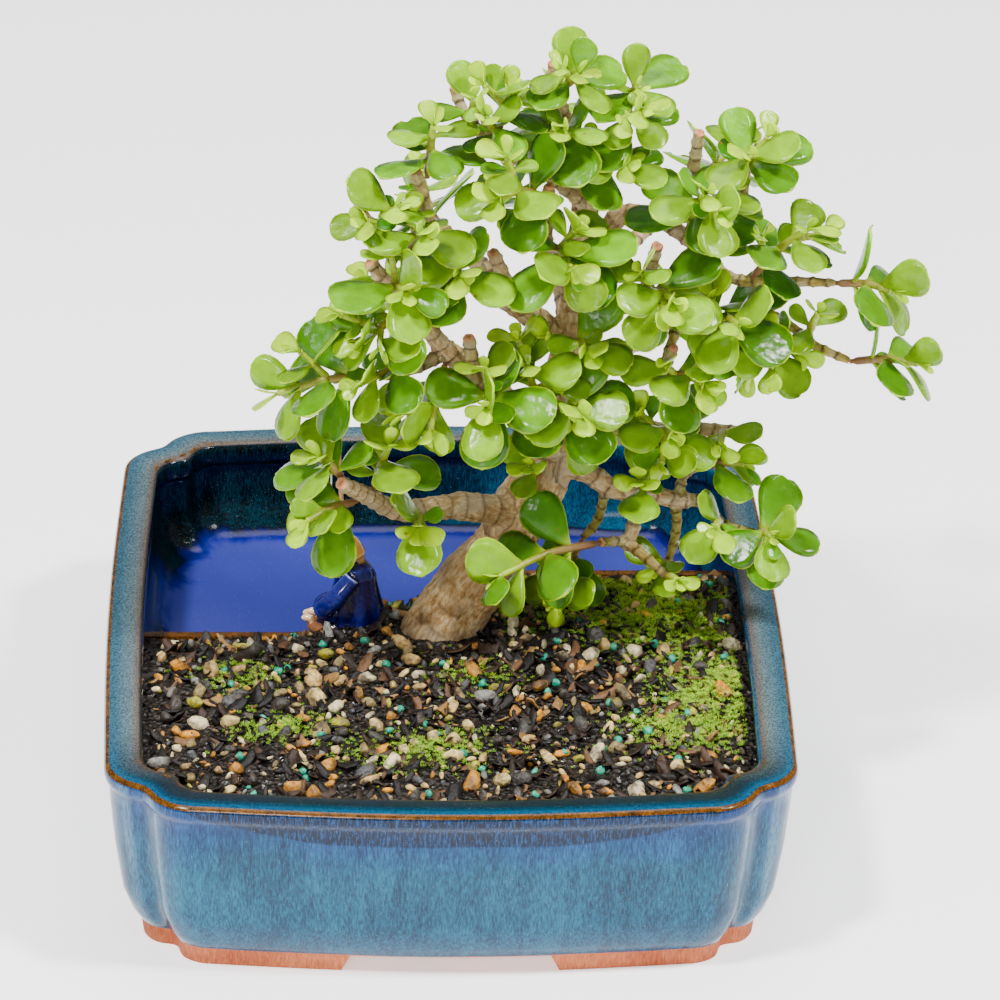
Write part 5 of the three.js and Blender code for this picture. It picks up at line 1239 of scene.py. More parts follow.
    # Painted shade: inside the left end the walls darken upward from 34 mm, where the left wall shades them
    finished = add(tree, "Mix", {"Factor": bare, "A": glazed, "B": clay})
    shaded = add(tree, "VectorMath SCALE", {"Vector": finished, "Scale": add(tree, "MapRange",
        {"Value": depth, "From": (0.0, 1.0), "To": (1.0, 0.55)})})
    bump = add(tree, "Bump", {"Strength": 0.14, "Distance": 0.0006, "Height": add(tree, "Math MULTIPLY_ADD",
        {0: flecks, 1: 0.5, 2: add(tree, "Math MULTIPLY_ADD", {0: runs, 1: 1.0, 2: 0.0})})})
    connect(tree, shader, {"Base Color": shaded, "Roughness": add(tree, "MapRange", {"Value": bare,
        "From": (0.0, 1.0), "To": (0.13, 0.85)}), "Normal": bump})
    return material


def pot_piece(look):
    """The pot: one lofted wall with its rolled rim and coved floor, then divider, feet and drains."""
    piece = pot_loft("glazed_pot", OUTER_ROWS + TOP_ROWS + BASIN_ROWS, 3.0)
    half = DIVIDER_THICKNESS / 2
    wall = divider_block("divider", -half, half, 26.0, DIVIDER_TOP)
    cut(wall, [pot_loft("wall_reach", [(20, 8, 2.2), (DIVIDER_TOP + 4, 8, 2.4)], 30)], "INTERSECT")
    recess = pot_loft("recess", [(-1, 24, 2), (UNDERSIDE_RECESS, 29, 2)])
    cut(recess, [divider_block("water_side", 8, 140, -2, UNDERSIDE_RECESS)], "INTERSECT")
    under = pot_loft("under_floor", [(-1, 10.6 + FOOT_WIDTH, 2), (FOOT_HEIGHT, 10.6 + FOOT_WIDTH, 2)])
    cut(piece, [wall], "UNION")
    soil_side = pot_loft("soil_side_room", SOIL_ROOM_ROWS[:2])
    cut(soil_side, [divider_block("soil_front", -140, -half, 0, DIVIDER_TOP)], "INTERSECT")
    drains = []
    for side in (-1, 1):
        route = [(45 * side, -55, -5, DRAIN_RADIUS), (45 * side, -55, 22, DRAIN_RADIUS)]
        drains.append(new_object("drain", *tube(route, 48, 2)))
    cut(piece, [soil_side, recess, under, foot_gap(FOOT_GAP_FRONT, False), foot_gap(FOOT_GAP_SIDE, True),
                *drains])
    weld(piece, 0.01)
    edge = piece.modifiers.new("Soft edges", "BEVEL")
    edge.width, edge.segments, edge.limit_method, edge.angle_limit = 0.0004, 2, "ANGLE", math.radians(50)
    edge.use_clamp_overlap = True
    freeze(piece)
    points = vertices_mm(piece.data)
    x, y, z = points.T
    inset = inset_of(points)
    behind = y > divider_y(x) + 1.0
    inside = (inset > 8.4) & (z < 57.7) & (z > 12.9)
    inside &= (inset > 10.4) | (z > 27)
    inside &= ~((inset < 11) & (z < 27))
    store(piece.data, "inset", inset)
    store(piece.data, "inside", inside.astype(float))
    store(piece.data, "top", np.clip((z - 57.0) / 0.7, 0, 1))
    low = behind * (z < 33) * (inset > 12) * (z > 24)
    store(piece.data, "pool", np.clip((inset - 12.6) / 11, 0, 1) * low)
    # Painted leaf shadow: how frayed the pool's shore is, a little everywhere and far stronger at the left
    # end
    store(piece.data, "ragged", (0.4 + 2.2 * np.clip((-x - 52) / 24, 0, 1)) * low)
    # Painted reflection: the rim turns paler slate from the sides round to the back
    store(piece.data, "slate", np.clip((y + 106) / 30, 0, 1))
    outer_edge = np.exp(-(np.maximum(np.abs(inset - 0.8) - 0.4, 0) / 0.5) ** 2) * (z > 57.5)
    inner_edge = 0.9 * np.exp(-((inset - 10.4) / 0.5) ** 2) * (z > 57.0)
    on_divider = 1.0 * (np.abs(y - divider_y(x)) < 1.9) * (z > 39.4) * (z < 40.6) * (inset > 9.5)
    store(piece.data, "edge", np.maximum.reduce([outer_edge, inner_edge, on_divider]))
    from_middle = np.maximum(np.abs(x) / 74 * (np.abs(y) > 90), np.abs(y) / 94 * (np.abs(y) <= 90))
    store(piece.data, "band", 49.4 + 8.5 * np.clip(from_middle, 0, 1.2) ** 4)
    # Painted shade on the upper inside walls at the left end
    store(piece.data, "depth", inside * np.clip((z - 34) / 14, 0, 1) * np.clip((-x - 55) / 22, 0, 1))
    corner = np.abs(np.abs(x) / (POT_HALF_WIDTH - inset) - np.abs(y) / (POT_HALF_DEPTH - inset))
    fold = np.exp(-((corner - 0.075) / 0.02) ** 2) * (z < 57)
    store(piece.data, "ridge", fold)
    piece.data.materials.clear()
    piece.data.materials.append(jun_glaze_material(look))
    piece.data.shade_smooth()
    piece.data.set_sharp_from_angle(angle=math.radians(55))
    return piece


# Soil and what lies on it
def soil_material():
    """Wet composted bark and grit: near black, with brown crumbs and damp glints."""
    material, tree, shader, here = new_material("wet_bark_mix", {"Roughness": 0.6, "IOR": 1.4})
    crumbs = add(tree, "TexVoronoi", {"Vector": here, "Scale": 520.0})
    fine = add(tree, "TexNoise", {"Vector": here, "Scale": 900.0, "Detail": 5.0})
    tint = add(tree, "ValToRGB", {"Fac": fine, "stops": [(0.34, "#040302"), (0.5, "#0D0906"),
        (0.62, "#23170E"), (0.78, "#4E3623")]})
    bump = add(tree, "Bump", {"Strength": 1.0, "Distance": 0.0012, "Height": crumbs})
    wet = add(tree, "MapRange", {"Value": fine, "From": (0.35, 0.6), "To": (0.2, 0.7)})
    connect(tree, shader, {"Base Color": tint, "Normal": bump, "Roughness": wet})
    return material


def stone_material():
    """River grit: each stone its own tan, cream, grey or ochre, sometimes veined or half stained."""
    material, tree, shader, here = new_material("river_grit", {"Roughness": 0.55, "IOR": 1.5})
    tone = add(tree, "Attribute", {"attribute_name": "tone"}).outputs["Fac"]
    base = add(tree, "ValToRGB", {"Fac": tone, "steps": [(0.0, "#3A3630"), (0.1, "#E2C47C"),
        (0.22, "#8E7A48"), (0.34, "#86847C"), (0.42, "#EAD8A8"), (0.56, "#BE8024"), (0.66, "#D2AC66"),
        (0.8, "#4C4C4E"), (0.88, "#DE9012"), (0.94, "#ACA42C")]})
    grain = add(tree, "TexNoise", {"Vector": here, "Scale": 700.0, "Detail": 5.0})
    dirt = add(tree, "TexNoise", {"Vector": here, "Scale": 190.0, "Detail": 3.0})
    shade = add(tree, "MapRange", {"Value": grain, "From": (0.3, 0.7), "To": (0.4, 1.2)})
    varied = add(tree, "VectorMath SCALE", {"Vector": base, "Scale": shade})
    stained = add(tree, "MapRange", {"Value": dirt, "From": (0.47, 0.64), "To": (0.0, 0.9)})
    finished = add(tree, "Mix", {"Factor": stained, "A": varied, "B": "#33261A"})
    bump = add(tree, "Bump", {"Strength": 0.9, "Distance": 0.001, "Height": grain})
    connect(tree, shader, {"Base Color": finished, "Normal": bump})
    return material


def prill_material():
    """Coated fertiliser prill: a smooth resin shell, teal, slightly clear."""
    material, tree, shader, here = new_material("resin_coated_prill", {
        "Roughness": 0.35, "IOR": 1.5, "Subsurface Weight": 0.2, "Subsurface Scale": 0.001})
    clouds = add(tree, "TexNoise", {"Vector": here, "Scale": 500.0, "Detail": 2.0})
    tint = add(tree, "ValToRGB", {"Fac": clouds, "stops": [(0.3, "#04664E"), (0.5, "#0E8E70"),
        (0.75, "#38B890")]})
    connect(tree, shader, {"Base Color": tint})
    return material


def moss_material():
    """Star moss: bright wet green tips over dark older growth."""
    material, tree, shader, _ = new_material("living_moss", {
        "Roughness": 0.6, "Subsurface Weight": 0.15, "Subsurface Scale": 0.0006})
    tone, tip = (add(tree, "Attribute", {"attribute_name": name}).outputs["Fac"] for name in ("tone", "tip"))
    both = add(tree, "Math MULTIPLY_ADD", {0: tone, 1: 0.45, 2: tip})
    tint = add(tree, "ValToRGB", {"Fac": both, "stops": [(0.05, "#1C3004"), (0.4, "#3E6C06"),
        (0.75, "#74A408"), (1.0, "#B0D212")]})
    connect(tree, shader, {"Base Color": tint})
    return material


def chip_material():
    """Flakes of bark and dead leaf: flat, brown, some still wet and nearly black."""
    material, tree, shader, here = new_material("bark_flake", {"Roughness": 0.55, "Specular IOR Level": 0.3})
    tone = add(tree, "Attribute", {"attribute_name": "tone"}).outputs["Fac"]
    grain = add(tree, "TexNoise", {"Vector": here, "Scale": 800.0, "Detail": 4.0})
    base = add(tree, "ValToRGB", {"Fac": tone, "stops": [(0.0, "#060403"), (0.5, "#160E09"),
        (0.78, "#342216"), (0.92, "#5C3F26"), (1.0, "#96703E")]})
    shade = add(tree, "MapRange", {"Value": grain, "To": (0.5, 1.6)})
    varied = add(tree, "VectorMath SCALE", {"Vector": base, "Scale": shade})
    bump = add(tree, "Bump", {"Strength": 0.8, "Distance": 0.0005, "Height": grain})
    connect(tree, shader, {"Base Color": varied, "Normal": bump})
    return material


def soil_block():
    """A block whose top follows the soil, with crumbs a few millimetres across."""
    x = np.arange(-100, 100.1, 1.25)
    y = np.arange(-121, 62.1, 1.25)
    gx, gy = np.meshgrid(x, y, indexing="ij")
    flat = np.stack([gx.ravel(), gy.ravel(), np.zeros(gx.size)], 1)
    lumps = 0.9 * swell_noise(flat, 5.0, 11) + 0.6 * swell_noise(flat, 2.3, 12)
    top = soil_height(gx, gy).ravel() + lumps - 0.35
    points = np.concatenate([np.column_stack([flat[:, :2], top]), flat])
    rows, columns = gx.shape
    index = np.arange(gx.size).reshape(rows, columns)
    a, b, c, d = index[:-1, :-1], index[1:, :-1], index[1:, 1:], index[:-1, 1:]
    up = np.stack([a, b, c, d], -1).reshape(-1, 4)
    down = np.stack([a, d, c, b], -1).reshape(-1, 4) + gx.size
    ring = np.concatenate([index[:, 0], index[-1, 1:], index[-2::-1, -1], index[0, -2:0:-1]])
    nxt = np.roll(ring, -1)
    wall = np.stack([ring + gx.size, nxt + gx.size, nxt, ring], 1)
    return new_object("soil_bed", points, np.concatenate([up, down, wall]).tolist())


def soil_piece():
    piece = soil_block()
    rows = [(z + (GAP if i == 0 else 0), inset, notch) for i, (z, inset, notch) in enumerate(SOIL_ROOM_ROWS)]
    room = pot_loft("soil_space", rows, 3.0, GAP)
    cut(room, [divider_block("soil_half", -140, -DIVIDER_THICKNESS / 2 - GAP, 0, 60)], "INTERSECT")
    cut(piece, [room], "INTERSECT")
    hole = [(x, y, z if i else z - GAP, r + 0.5 * GAP) for i, (x, y, z, r) in enumerate(WOOD["trunk"])]
    cut(piece, [new_object("hole", *tube(hole[:8], 40, 40))])
    piece.data.materials.clear()
    piece.data.materials.append(soil_material())
    piece.data.shade_smooth()
    return piece


def solid_stones():
    """Places, sizes and turns of the stones and prills that the solids carry."""
    random = seeded_random(21)
    taken = []
    for kind, count, smallest, largest in (("pebble", 14, 3.4, 5.4), ("pebble", 15, 2.4, 3.4),
                                           ("prill", 8, 1.7, 1.9)):
        placed = tries = 0
        while placed < count and tries < 4000:
            tries += 1
            radius = smallest + (largest - smallest) * random() ** 2
            x = (2 * random() - 1) * (POT_HALF_WIDTH - 22)
            y = -POT_HALF_DEPTH + 22 + random() * (POT_HALF_DEPTH + 28)
            turn = (random() * 3, random() * 3, random() * 6)
            clear = divider_y(x) - y > 16 and math.hypot(x, y) > 17
            clear &= math.hypot(x - FIGURE_AT[0] + 4, y - FIGURE_AT[1]) > 19
            clear &= all(math.hypot(t[1] - x, t[2] - y) > t[3] + radius + 0.8 for t in taken)
            if clear:
                taken.append((kind, x, y, radius, turn))
                placed += 1
    return taken


def rough_stone(name, seed, squash):
    """A pebble of radius 1 with a few facets rubbed flat."""
    shape = bmesh.new()
    bmesh.ops.create_icosphere(shape, subdivisions=2, radius=1)
    points = np.array([v.co[:] for v in shape.verts])
    random = seeded_random(seed)
    for _ in range(10):
        way = unit(np.array([random() - 0.5, random() - 0.5, random() - 0.5]))
        depth = 0.52 + 0.3 * random()
        points -= np.outer(np.maximum(points @ way - depth, 0), way) * 0.96
    points *= squash
    for vertex, point in zip(shape.verts, points):
        vertex.co = Vector(point)
    mesh = bpy.data.meshes.new(name)
    shape.to_mesh(mesh)
    shape.free()
    mesh.shade_smooth()
    return bpy.data.objects.new(name, mesh)


def flake(name, seed):
    """A flake of bark: a thin bent chip with an uneven outline."""
    random = seeded_random(seed)
    count = 9
    angle = np.linspace(0, 2 * math.pi, count, endpoint=False)
    reach = np.array([0.7 + 0.5 * random() for _ in range(count)])
    ring = np.column_stack([np.cos(angle) * reach * 1.3, np.sin(angle) * reach * 0.75])
    bend = 0.22 * ring[:, 0] ** 2
    rings = [np.column_stack([ring * 0.9, bend - 0.1]), np.column_stack([ring, bend]),
             np.column_stack([ring * 0.86, bend + 0.1])]
    points, faces = loft(rings)
    mesh = bpy.data.meshes.new(name)
    mesh.from_pydata(points.tolist(), [], faces)
    mesh.shade_smooth()
    return bpy.data.objects.new(name, mesh)


def moss_star(name, seed, tufts=9):
    """A star of narrow moss leaves of height 1, each a slim three-sided spike."""
    random = seeded_random(seed)
    points, faces, tips = [], [], []
    for k in range(tufts):
        turn = 2 * math.pi * (k + 0.6 * random()) / tufts
        lean = 0.25 + 0.75 * random()
        out = np.array([math.cos(turn), math.sin(turn), 0])
        side = np.array([-math.sin(turn), math.cos(turn), 0])
        start = len(points)
        points += [0.14 * side, -0.14 * side, 0.16 * out - (0, 0, 0.1), out * lean + (0, 0, 1 - 0.45 * lean)]
        tips += [0, 0, 0, 1]
        faces += [[start + v for v in face] for face in ((0, 1, 2), (1, 0, 3), (2, 1, 3), (0, 2, 3))]
    mesh = bpy.data.meshes.new(name)
    mesh.from_pydata([tuple(p) for p in points], [], faces)
    store(mesh, "tip", tips)
    mesh.shade_smooth()
    return bpy.data.objects.new(name, mesh)


def shape_collection(name, shapes):
    group = bpy.data.collections.new(name)
    for shape in shapes:
        for owner in list(shape.users_collection):
            owner.objects.unlink(shape)
        group.objects.link(shape)
    return group


def scatter_tree(name, shapes, material):
    """Sets one of several shapes on each point, turned and sized by the point's own values."""
    tree, start, end = new_geometry_tree(name, {"Size": ("NodeSocketFloat", 1.0)})
    named = {key: add(tree, "GeometryNodeInputNamedAttribute", {"data_type": kind,
        "Name": key}) for key, kind in (("turn", "FLOAT_VECTOR"), ("size", "FLOAT_VECTOR"), ("shape", "INT"))}
    kinds = add(tree, "GeometryNodeCollectionInfo", {"Collection": shapes, "Separate Children": True,
        "Reset Children": True})
    size = add(tree, "VectorMath SCALE", {"Vector": named["size"], "Scale": start.outputs["Size"]})
    set_out = add(tree, "GeometryNodeInstanceOnPoints", {"Points": start.outputs["Geometry"],
        "Instance": kinds, "Pick Instance": True, "Instance Index": named["shape"], "Rotation": named["turn"],
        "Scale": size})
    real = add(tree, "GeometryNodeRealizeInstances", {"Geometry": set_out})
    finished = add(tree, "GeometryNodeSetMaterial", {"Geometry": real, "Material": material})
    tree.links.new(finished.outputs[0], end.inputs[0])
    return tree


def scattered(name, rows, shapes, material, size=1.0):
    """One mesh of like things; rows hold place, turn, size along three axes, shape and tone."""
    piece = new_object(name, [row[0] for row in rows], [])
    store(piece.data, "turn", [row[1] for row in rows], "FLOAT_VECTOR")
    store(piece.data, "size", np.array([row[2] for row in rows]) / 1000, "FLOAT_VECTOR")
    store(piece.data, "shape", [row[3] for row in rows], "INT")
    store(piece.data, "tone", [row[4] for row in rows])
    group = shape_collection(name + " shapes", shapes)
    grow(piece, scatter_tree(name, group, material), {"Size": size})
    bpy.data.collections.remove(group)
    for shape in shapes:
        bpy.data.objects.remove(shape)
    return piece


def on_soil(random, margin=1.5):
    """A seeded place on the open soil, clear of the trunk, the rock and the divider."""
    while True:
        x = (2 * random() - 1) * 88
        y = -108 + random() * 160
        near_wall = inset_of(np.array([[x, y]]))[0]
        if near_wall < 12.5 + margin or divider_y(x) - y < 2.4 + margin or math.hypot(x, y) < 13 + margin:
            continue
        if math.hypot((x - FIGURE_AT[0] + 4) / 1.35, y - FIGURE_AT[1]) < 10 + margin:
            continue
        return x, y


def moss_share(x, y):
    """How mossy the soil is: a cushion at the right of the trunk and a few small patches."""
    patches = ((50, 25, 34, 20, 1.0), (68, 6, 20, 20, 0.95), (80, -38, 14, 22, 0.9), (68, -60, 16, 10, 0.8),
               (-10, -72, 20, 10, 0.55), (8, -30, 13, 8, 0.35), (-50, -60, 13, 8, 0.5),
               (-62, -28, 12, 9, 0.4), (30, 40, 26, 12, 0.8))
    share = max(s * math.exp(-(((x - a) / w) ** 2 + ((y - b) / h) ** 2)) for a, b, w, h, s in patches)
    return share * (0.75 + 0.5 * noise.noise(Vector((x, y, 3)) / 9))


def ground_cover(look):
    """Stones, prills, flakes of bark and moss, set on the soil by seeded draws."""
    random = seeded_random(77)
    stones, prills, flakes, moss = [], [], [], []
    taken = []
    for kind, x, y, radius, turn in solid_stones():
        z = float(soil_height(x, y)) - 0.3
        row = ((x, y, z), turn, (radius, 0.85 * radius, 0.72 * radius), int(random() * 6), random())
        (prills if kind == "prill" else stones).append(row)
        taken.append((x, y, radius))
    for _ in range(look.stones):
        x, y = on_soil(random)
        radius = 1.0 + 3.0 * random() ** 2.0
        if moss_share(x, y) > 0.55 and random() < 0.85:
            continue
        if any(math.hypot(t[0] - x, t[1] - y) < 0.8 * (t[2] + radius) for t in taken):
            continue
        taken.append((x, y, radius))
        z = float(soil_height(x, y)) - 0.1 + 0.25 * radius
        turn = (random() * 0.8, random() * 0.8, random() * 6)
        size = (radius * (1 + 0.35 * random()), radius * 0.85, radius * (0.55 + 0.25 * random()))
        stones.append(((x, y, z), turn, size, int(random() * 6), random()))
    for _ in range(look.prills):
        x, y = on_soil(random)
        radius = 1.3 + 0.4 * random()
        prills.append(((x, y, float(soil_height(x, y)) + 0.8), (0, 0, random() * 6), (radius,) * 3,
                       int(random() * 6), random()))
    for _ in range(look.flakes):
        x, y = on_soil(random, 0.8)
        length = 0.9 + 3.2 * random() ** 2.6
        z = float(soil_height(x, y)) + 0.5 * random()
        turn = (random() * 1.6 - 0.8, random() * 1.6 - 0.8, random() * 6)
        size = (length, length * (0.5 + 0.5 * random()), length * (0.6 + 0.8 * random()))
        flakes.append(((x, y, z), turn, size, int(random() * 4), random()))
    for _ in range(look.moss):
        x, y = on_soil(random, 0.5)
        share = moss_share(x, y)
        if random() > share * 2.2:
            continue
        size = (1.0 + 0.9 * random()) * (0.75 + 0.4 * share)
        z = float(soil_height(x, y)) + 2.2 * share * random()
        turn = (random() * 0.7 - 0.35, random() * 0.7 - 0.35, random() * 6)
        moss.append(((x, y, z), turn, (size,) * 3, int(random() * 4), random() * share))
    pebbles = [rough_stone(f"pebble_{k}", 30 + k, (1, 0.9 - 0.05 * k, 1)) for k in range(6)]
    beads = [rough_stone(f"bead_{k}", 40 + k, (1, 1, 0.96)) for k in range(6)]
    chips = [flake(f"chip_{k}", 50 + k) for k in range(4)]
    stars = [moss_star(f"star_{k}", 60 + k) for k in range(4)]
    return [scattered("soil_pebbles", stones, pebbles, stone_material()),
            scattered("soil_prills", prills, beads, prill_material()),
            scattered("soil_bark_flakes", flakes, chips, chip_material()),
            scattered("soil_moss", moss, stars, moss_material())]


# Fisherman, rod and line
def figure_material():
    """Small press-moulded clay figure: cobalt glaze pooled in the folds, breaking pale on the edges."""
    material, tree, shader, here = new_material("cobalt_glazed_clay", {
        "Roughness": 0.1, "IOR": 1.52, "Specular IOR Level": 0.75})
    edge = add(tree, "Attribute", {"attribute_name": "edge"}).outputs["Fac"]
    specks = add(tree, "TexNoise", {"Vector": here, "Scale": 900.0, "Detail": 3.0})
    thin = add(tree, "Math MULTIPLY_ADD", {0: specks, 1: 0.16, 2: edge})
    robe = add(tree, "ValToRGB", {"Fac": thin, "stops": [(0.46, "#030336"), (0.62, "#0A0E60"),
        (0.78, "#2C3EA8"), (0.94, "#A8B4E8")]})
    straw = add(tree, "ValToRGB", {"Fac": thin, "stops": [(0.3, "#8A4C0C"), (0.55, "#BC7A22"),
        (0.9, "#E6B868")]})
    skin_tone = add(tree, "ValToRGB", {"Fac": thin, "stops": [(0.3, "#B27B4F"), (0.6, "#D6A679"),
        (1.0, "#EBC79F")]})
    rock = add(tree, "ValToRGB", {"Fac": thin, "stops": [(0.3, "#4A2A16"), (0.6, "#7A4A2A"),
        (1.0, "#A2714A")]})
    masks = [add(tree, "Attribute", {"attribute_name": name}).outputs["Fac"] for name in ("straw", "skin",
        "rock")]
    tint = robe
    for mask, part in zip(masks, (straw, skin_tone, rock)):
        tint = add(tree, "Mix", {"Factor": mask, "A": tint, "B": part})
    bump = add(tree, "Bump", {"Strength": 0.2, "Distance": 0.0003, "Height": specks})
    connect(tree, shader, {"Base Color": tint, "Normal": bump})
    return material


def ball(x, y, z, rx, ry, rz, rings=14, sides=24):
    """A closed ellipsoid about a point, in the figure's own millimetres."""
    turns = np.linspace(0, 2 * math.pi, sides, endpoint=False)
    lows = np.linspace(-math.pi / 2, math.pi / 2, rings + 2)[1:-1]
    rows = [np.column_stack([x + rx * math.cos(a) * np.cos(turns), y + ry * math.cos(a) * np.sin(turns),
                             np.full(sides, z + rz * math.sin(a))]) for a in lows]
    points, faces = loft(rows)
    points[-2], points[-1] = (x, y, z - rz), (x, y, z + rz)
    return points, faces


def turned(profile, sides=64, squash=1.0, folds=0, fold_depth=0.0):
    """A closed form turned about the upright axis, with folds that deepen towards its foot."""
    rows = finer([(r, z, 0) for r, z in profile], 0.35)
    angle = np.linspace(0, 2 * math.pi, sides, endpoint=False)
    top = max(z for _, z in profile)
    rings = []
    for r, z, _ in rows:
        r = max(r, 0.02)
        wave = 1 + fold_depth * np.cos(folds * angle + 0.7 * np.sin(2 * angle)) * (1 - z / top) ** 0.7
        rings.append(np.column_stack([r * wave * np.cos(angle), r * wave * squash * np.sin(angle),
                                      np.full(sides, z)]))
    return loft(rings)


def limb(route, sides=20, steps=24):
    return tube([(*p, max(r, 0.3)) for *p, r in route], sides, steps)


def fisherman_piece():
    """A seated old fisherman in a straw hat and wide robe on a rock, looking out to the water."""
    groups = {
        "rock": [ball(-4, 0, 1.5, 11, 8, 4.2), ball(-9, 3, 1.5, 5, 4.6, 3.2), ball(2, -3, 1.2, 5.4, 5, 3)],
        "robe": [turned([(0.3, 1), (8.4, 1), (9.2, 3.4), (8.6, 7), (7.6, 11), (6.7, 15), (6.2, 18.6),
                         (5, 21.2), (3.2, 23), (2.2, 24)], 72, 0.86, 9, 0.06),
                 ball(-7, 0, 7, 6, 6, 4.4), ball(-6.4, 3.4, 6.4, 5.4, 3.2, 3.6),
                 ball(-6.6, -3.2, 6.2, 5.4, 3.2, 3.4),
                 limb([(-1, -5.4, 20, 2.5), (-6, -7.3, 14, 3.1), (-10, -5, 9, 3.3), (-11, -4.4, 8, 2.6)]),
                 limb([(-1, 5, 20, 2.4), (-2, 7.4, 16, 2.6), (-2.4, 8, 13, 2.4), (-2.5, 8.1, 12.2, 2.2)])],
        "skin": [ball(-1.3, 0, 24.9, 2.9, 2.7, 3.1), ball(-12.4, -3.6, 7.4, 2.4, 1.3, 1.3),
                 ball(-13.6, -1, 3.8, 2.9, 1.4, 1.3), ball(-13.2, 2.6, 3.6, 2.9, 1.4, 1.3),
                 ball(-2.6, 8, 11.6, 2.1, 2.1, 2.0), ball(-4.0, 0, 24.7, 0.7, 0.6, 0.8),
                 ball(-3.6, 0, 23.3, 0.9, 1.0, 0.45)],
        "straw": [turned([(0.2, 26), (5.1, 25.5), (5.7, 25.9), (5.2, 27.2), (4.5, 28.7), (3.7, 30.1),
                          (2.2, 31.4), (0.9, 31.95), (0.2, 32)], 48),
                  limb([(-2.4, 0, 23.4, 1.5), (-3.9, 0, 21.2, 1.1), (-4.6, 0, 19.6, 0.4)], 14),
                  ball(1.1, 0, 23.6, 1.9, 2.5, 2.4)],
    }
    parts, centres = [], []
    for name, members in groups.items():
        for points, faces in members:
            if name == "straw" and points[:, 2].max() > 31:
                angle = -0.1
                x, z = points[:, 0].copy(), points[:, 2].copy()
                points[:, 0] = x * math.cos(angle) + z * math.sin(angle)
                points[:, 2] = z * math.cos(angle) - x * math.sin(angle)
            parts.append((points + FIGURE_AT, faces))
            centres.append((name, points + FIGURE_AT))
    piece = new_object("clay_fisherman", *merged(parts))
    remeshed(piece, 0.3, 2)
    ground = new_object("ground", [(x, y, z) for z in (20, FIGURE_AT[2]) for x, y in
                                   ((-80, -40), (30, -40), (30, 60), (-80, 60))],
                        [[3, 2, 1, 0], [4, 5, 6, 7], [0, 1, 5, 4], [1, 2, 6, 5], [2, 3, 7, 6], [3, 0, 4, 7]])
    cut(piece, [ground])
    way = unit(ROD_TIP - ROD_FOOT)
    hole = [(*(ROD_FOOT - way * 0.5), ROD_RADIUS + GAP), (*ROD_TIP, ROD_RADIUS + GAP)]
    cut(piece, [new_object("rod_hole", *tube(hole, 20, 2))])
    points = vertices_mm(piece.data)
    finder = kdtree.KDTree(sum(len(p) for _, p in centres))
    owners = []
    for name, p in centres:
        for point in p:
            finder.insert(point, len(owners))
            owners.append(name)
    finder.balance()
    nearest = np.array([owners[finder.find(point)[1]] for point in points])
    for name in ("straw", "skin", "rock"):
        store(piece.data, name, (nearest == name).astype(float))
    store(piece.data, "edge", convexity(piece.data))
    piece.data.materials.clear()
    piece.data.materials.append(figure_material())
    piece.data.shade_smooth()
    return piece


def convexity(mesh, passes=9):
    """How far each vertex stands out from its neighbours, from 0 in a fold to 1 on an edge."""
    count = len(mesh.vertices)
    pairs = np.empty(2 * len(mesh.edges), int)
    mesh.edges.foreach_get("vertices", pairs)
    pairs = pairs.reshape(-1, 2)
    points = vertices_mm(mesh)
    normals = np.empty(3 * count)
    mesh.vertices.foreach_get("normal", normals)
    normals = normals.reshape(-1, 3)
    total = np.zeros((count, 3))
    number = np.zeros(count)
    for a, b in ((0, 1), (1, 0)):
        np.add.at(total, pairs[:, a], points[pairs[:, b]])
        np.add.at(number, pairs[:, a], 1)
    stand = ((points - total / np.maximum(number, 1)[:, None]) * normals).sum(1)
    for _ in range(passes):
        smooth = np.zeros(count)
        for a, b in ((0, 1), (1, 0)):
            np.add.at(smooth, pairs[:, a], stand[pairs[:, b]])
        stand = 0.5 * stand + 0.5 * smooth / np.maximum(number, 1)
    return np.clip(0.45 + stand * 18, 0, 1)


def bamboo_material():
    """Whole thin bamboo cane: hard, waxy, honey coloured, browner at each joint."""
    material, tree, shader, here = new_material("bamboo_cane", {"Roughness": 0.35, "IOR": 1.5})
    joint = add(tree, "Attribute", {"attribute_name": "joint"}).outputs["Fac"]
    lengthwise = add(tree, "Mapping", {"Vector": here, "Scale": (3000.0, 3000.0, 90.0)})
    grain = add(tree, "TexNoise", {"Vector": lengthwise, "Scale": 1.0, "Detail": 3.0})
    cane = add(tree, "ValToRGB", {"Fac": grain, "stops": [(0.3, "#A8794A"), (0.55, "#C99A62"),
        (0.8, "#E2BE88")]})
    tint = add(tree, "Mix", {"Factor": joint, "A": cane, "B": "#6E4626"})
    bump = add(tree, "Bump", {"Strength": 0.4, "Distance": 0.0002, "Height": grain})
    connect(tree, shader, {"Base Color": tint, "Normal": bump})
    return material


def thread_material():
    """Twisted white cotton thread: matt, with a fine slanting ply."""
    material, tree, shader, here = new_material("cotton_thread", {"Roughness": 0.9, "Sheen Weight": 0.3})
    ply = add(tree, "TexWave", {"Vector": here, "Scale": 700.0, "Distortion": 0.4,
        "bands_direction": "DIAGONAL"})
    tint = add(tree, "ValToRGB", {"Fac": ply, "stops": [(0.0, "#CFCAC0"), (1.0, "#F6F3EC")]})
    bump = add(tree, "Bump", {"Strength": 0.6, "Distance": 0.0001, "Height": ply})
    connect(tree, shader, {"Base Color": tint, "Normal": bump})
    return material


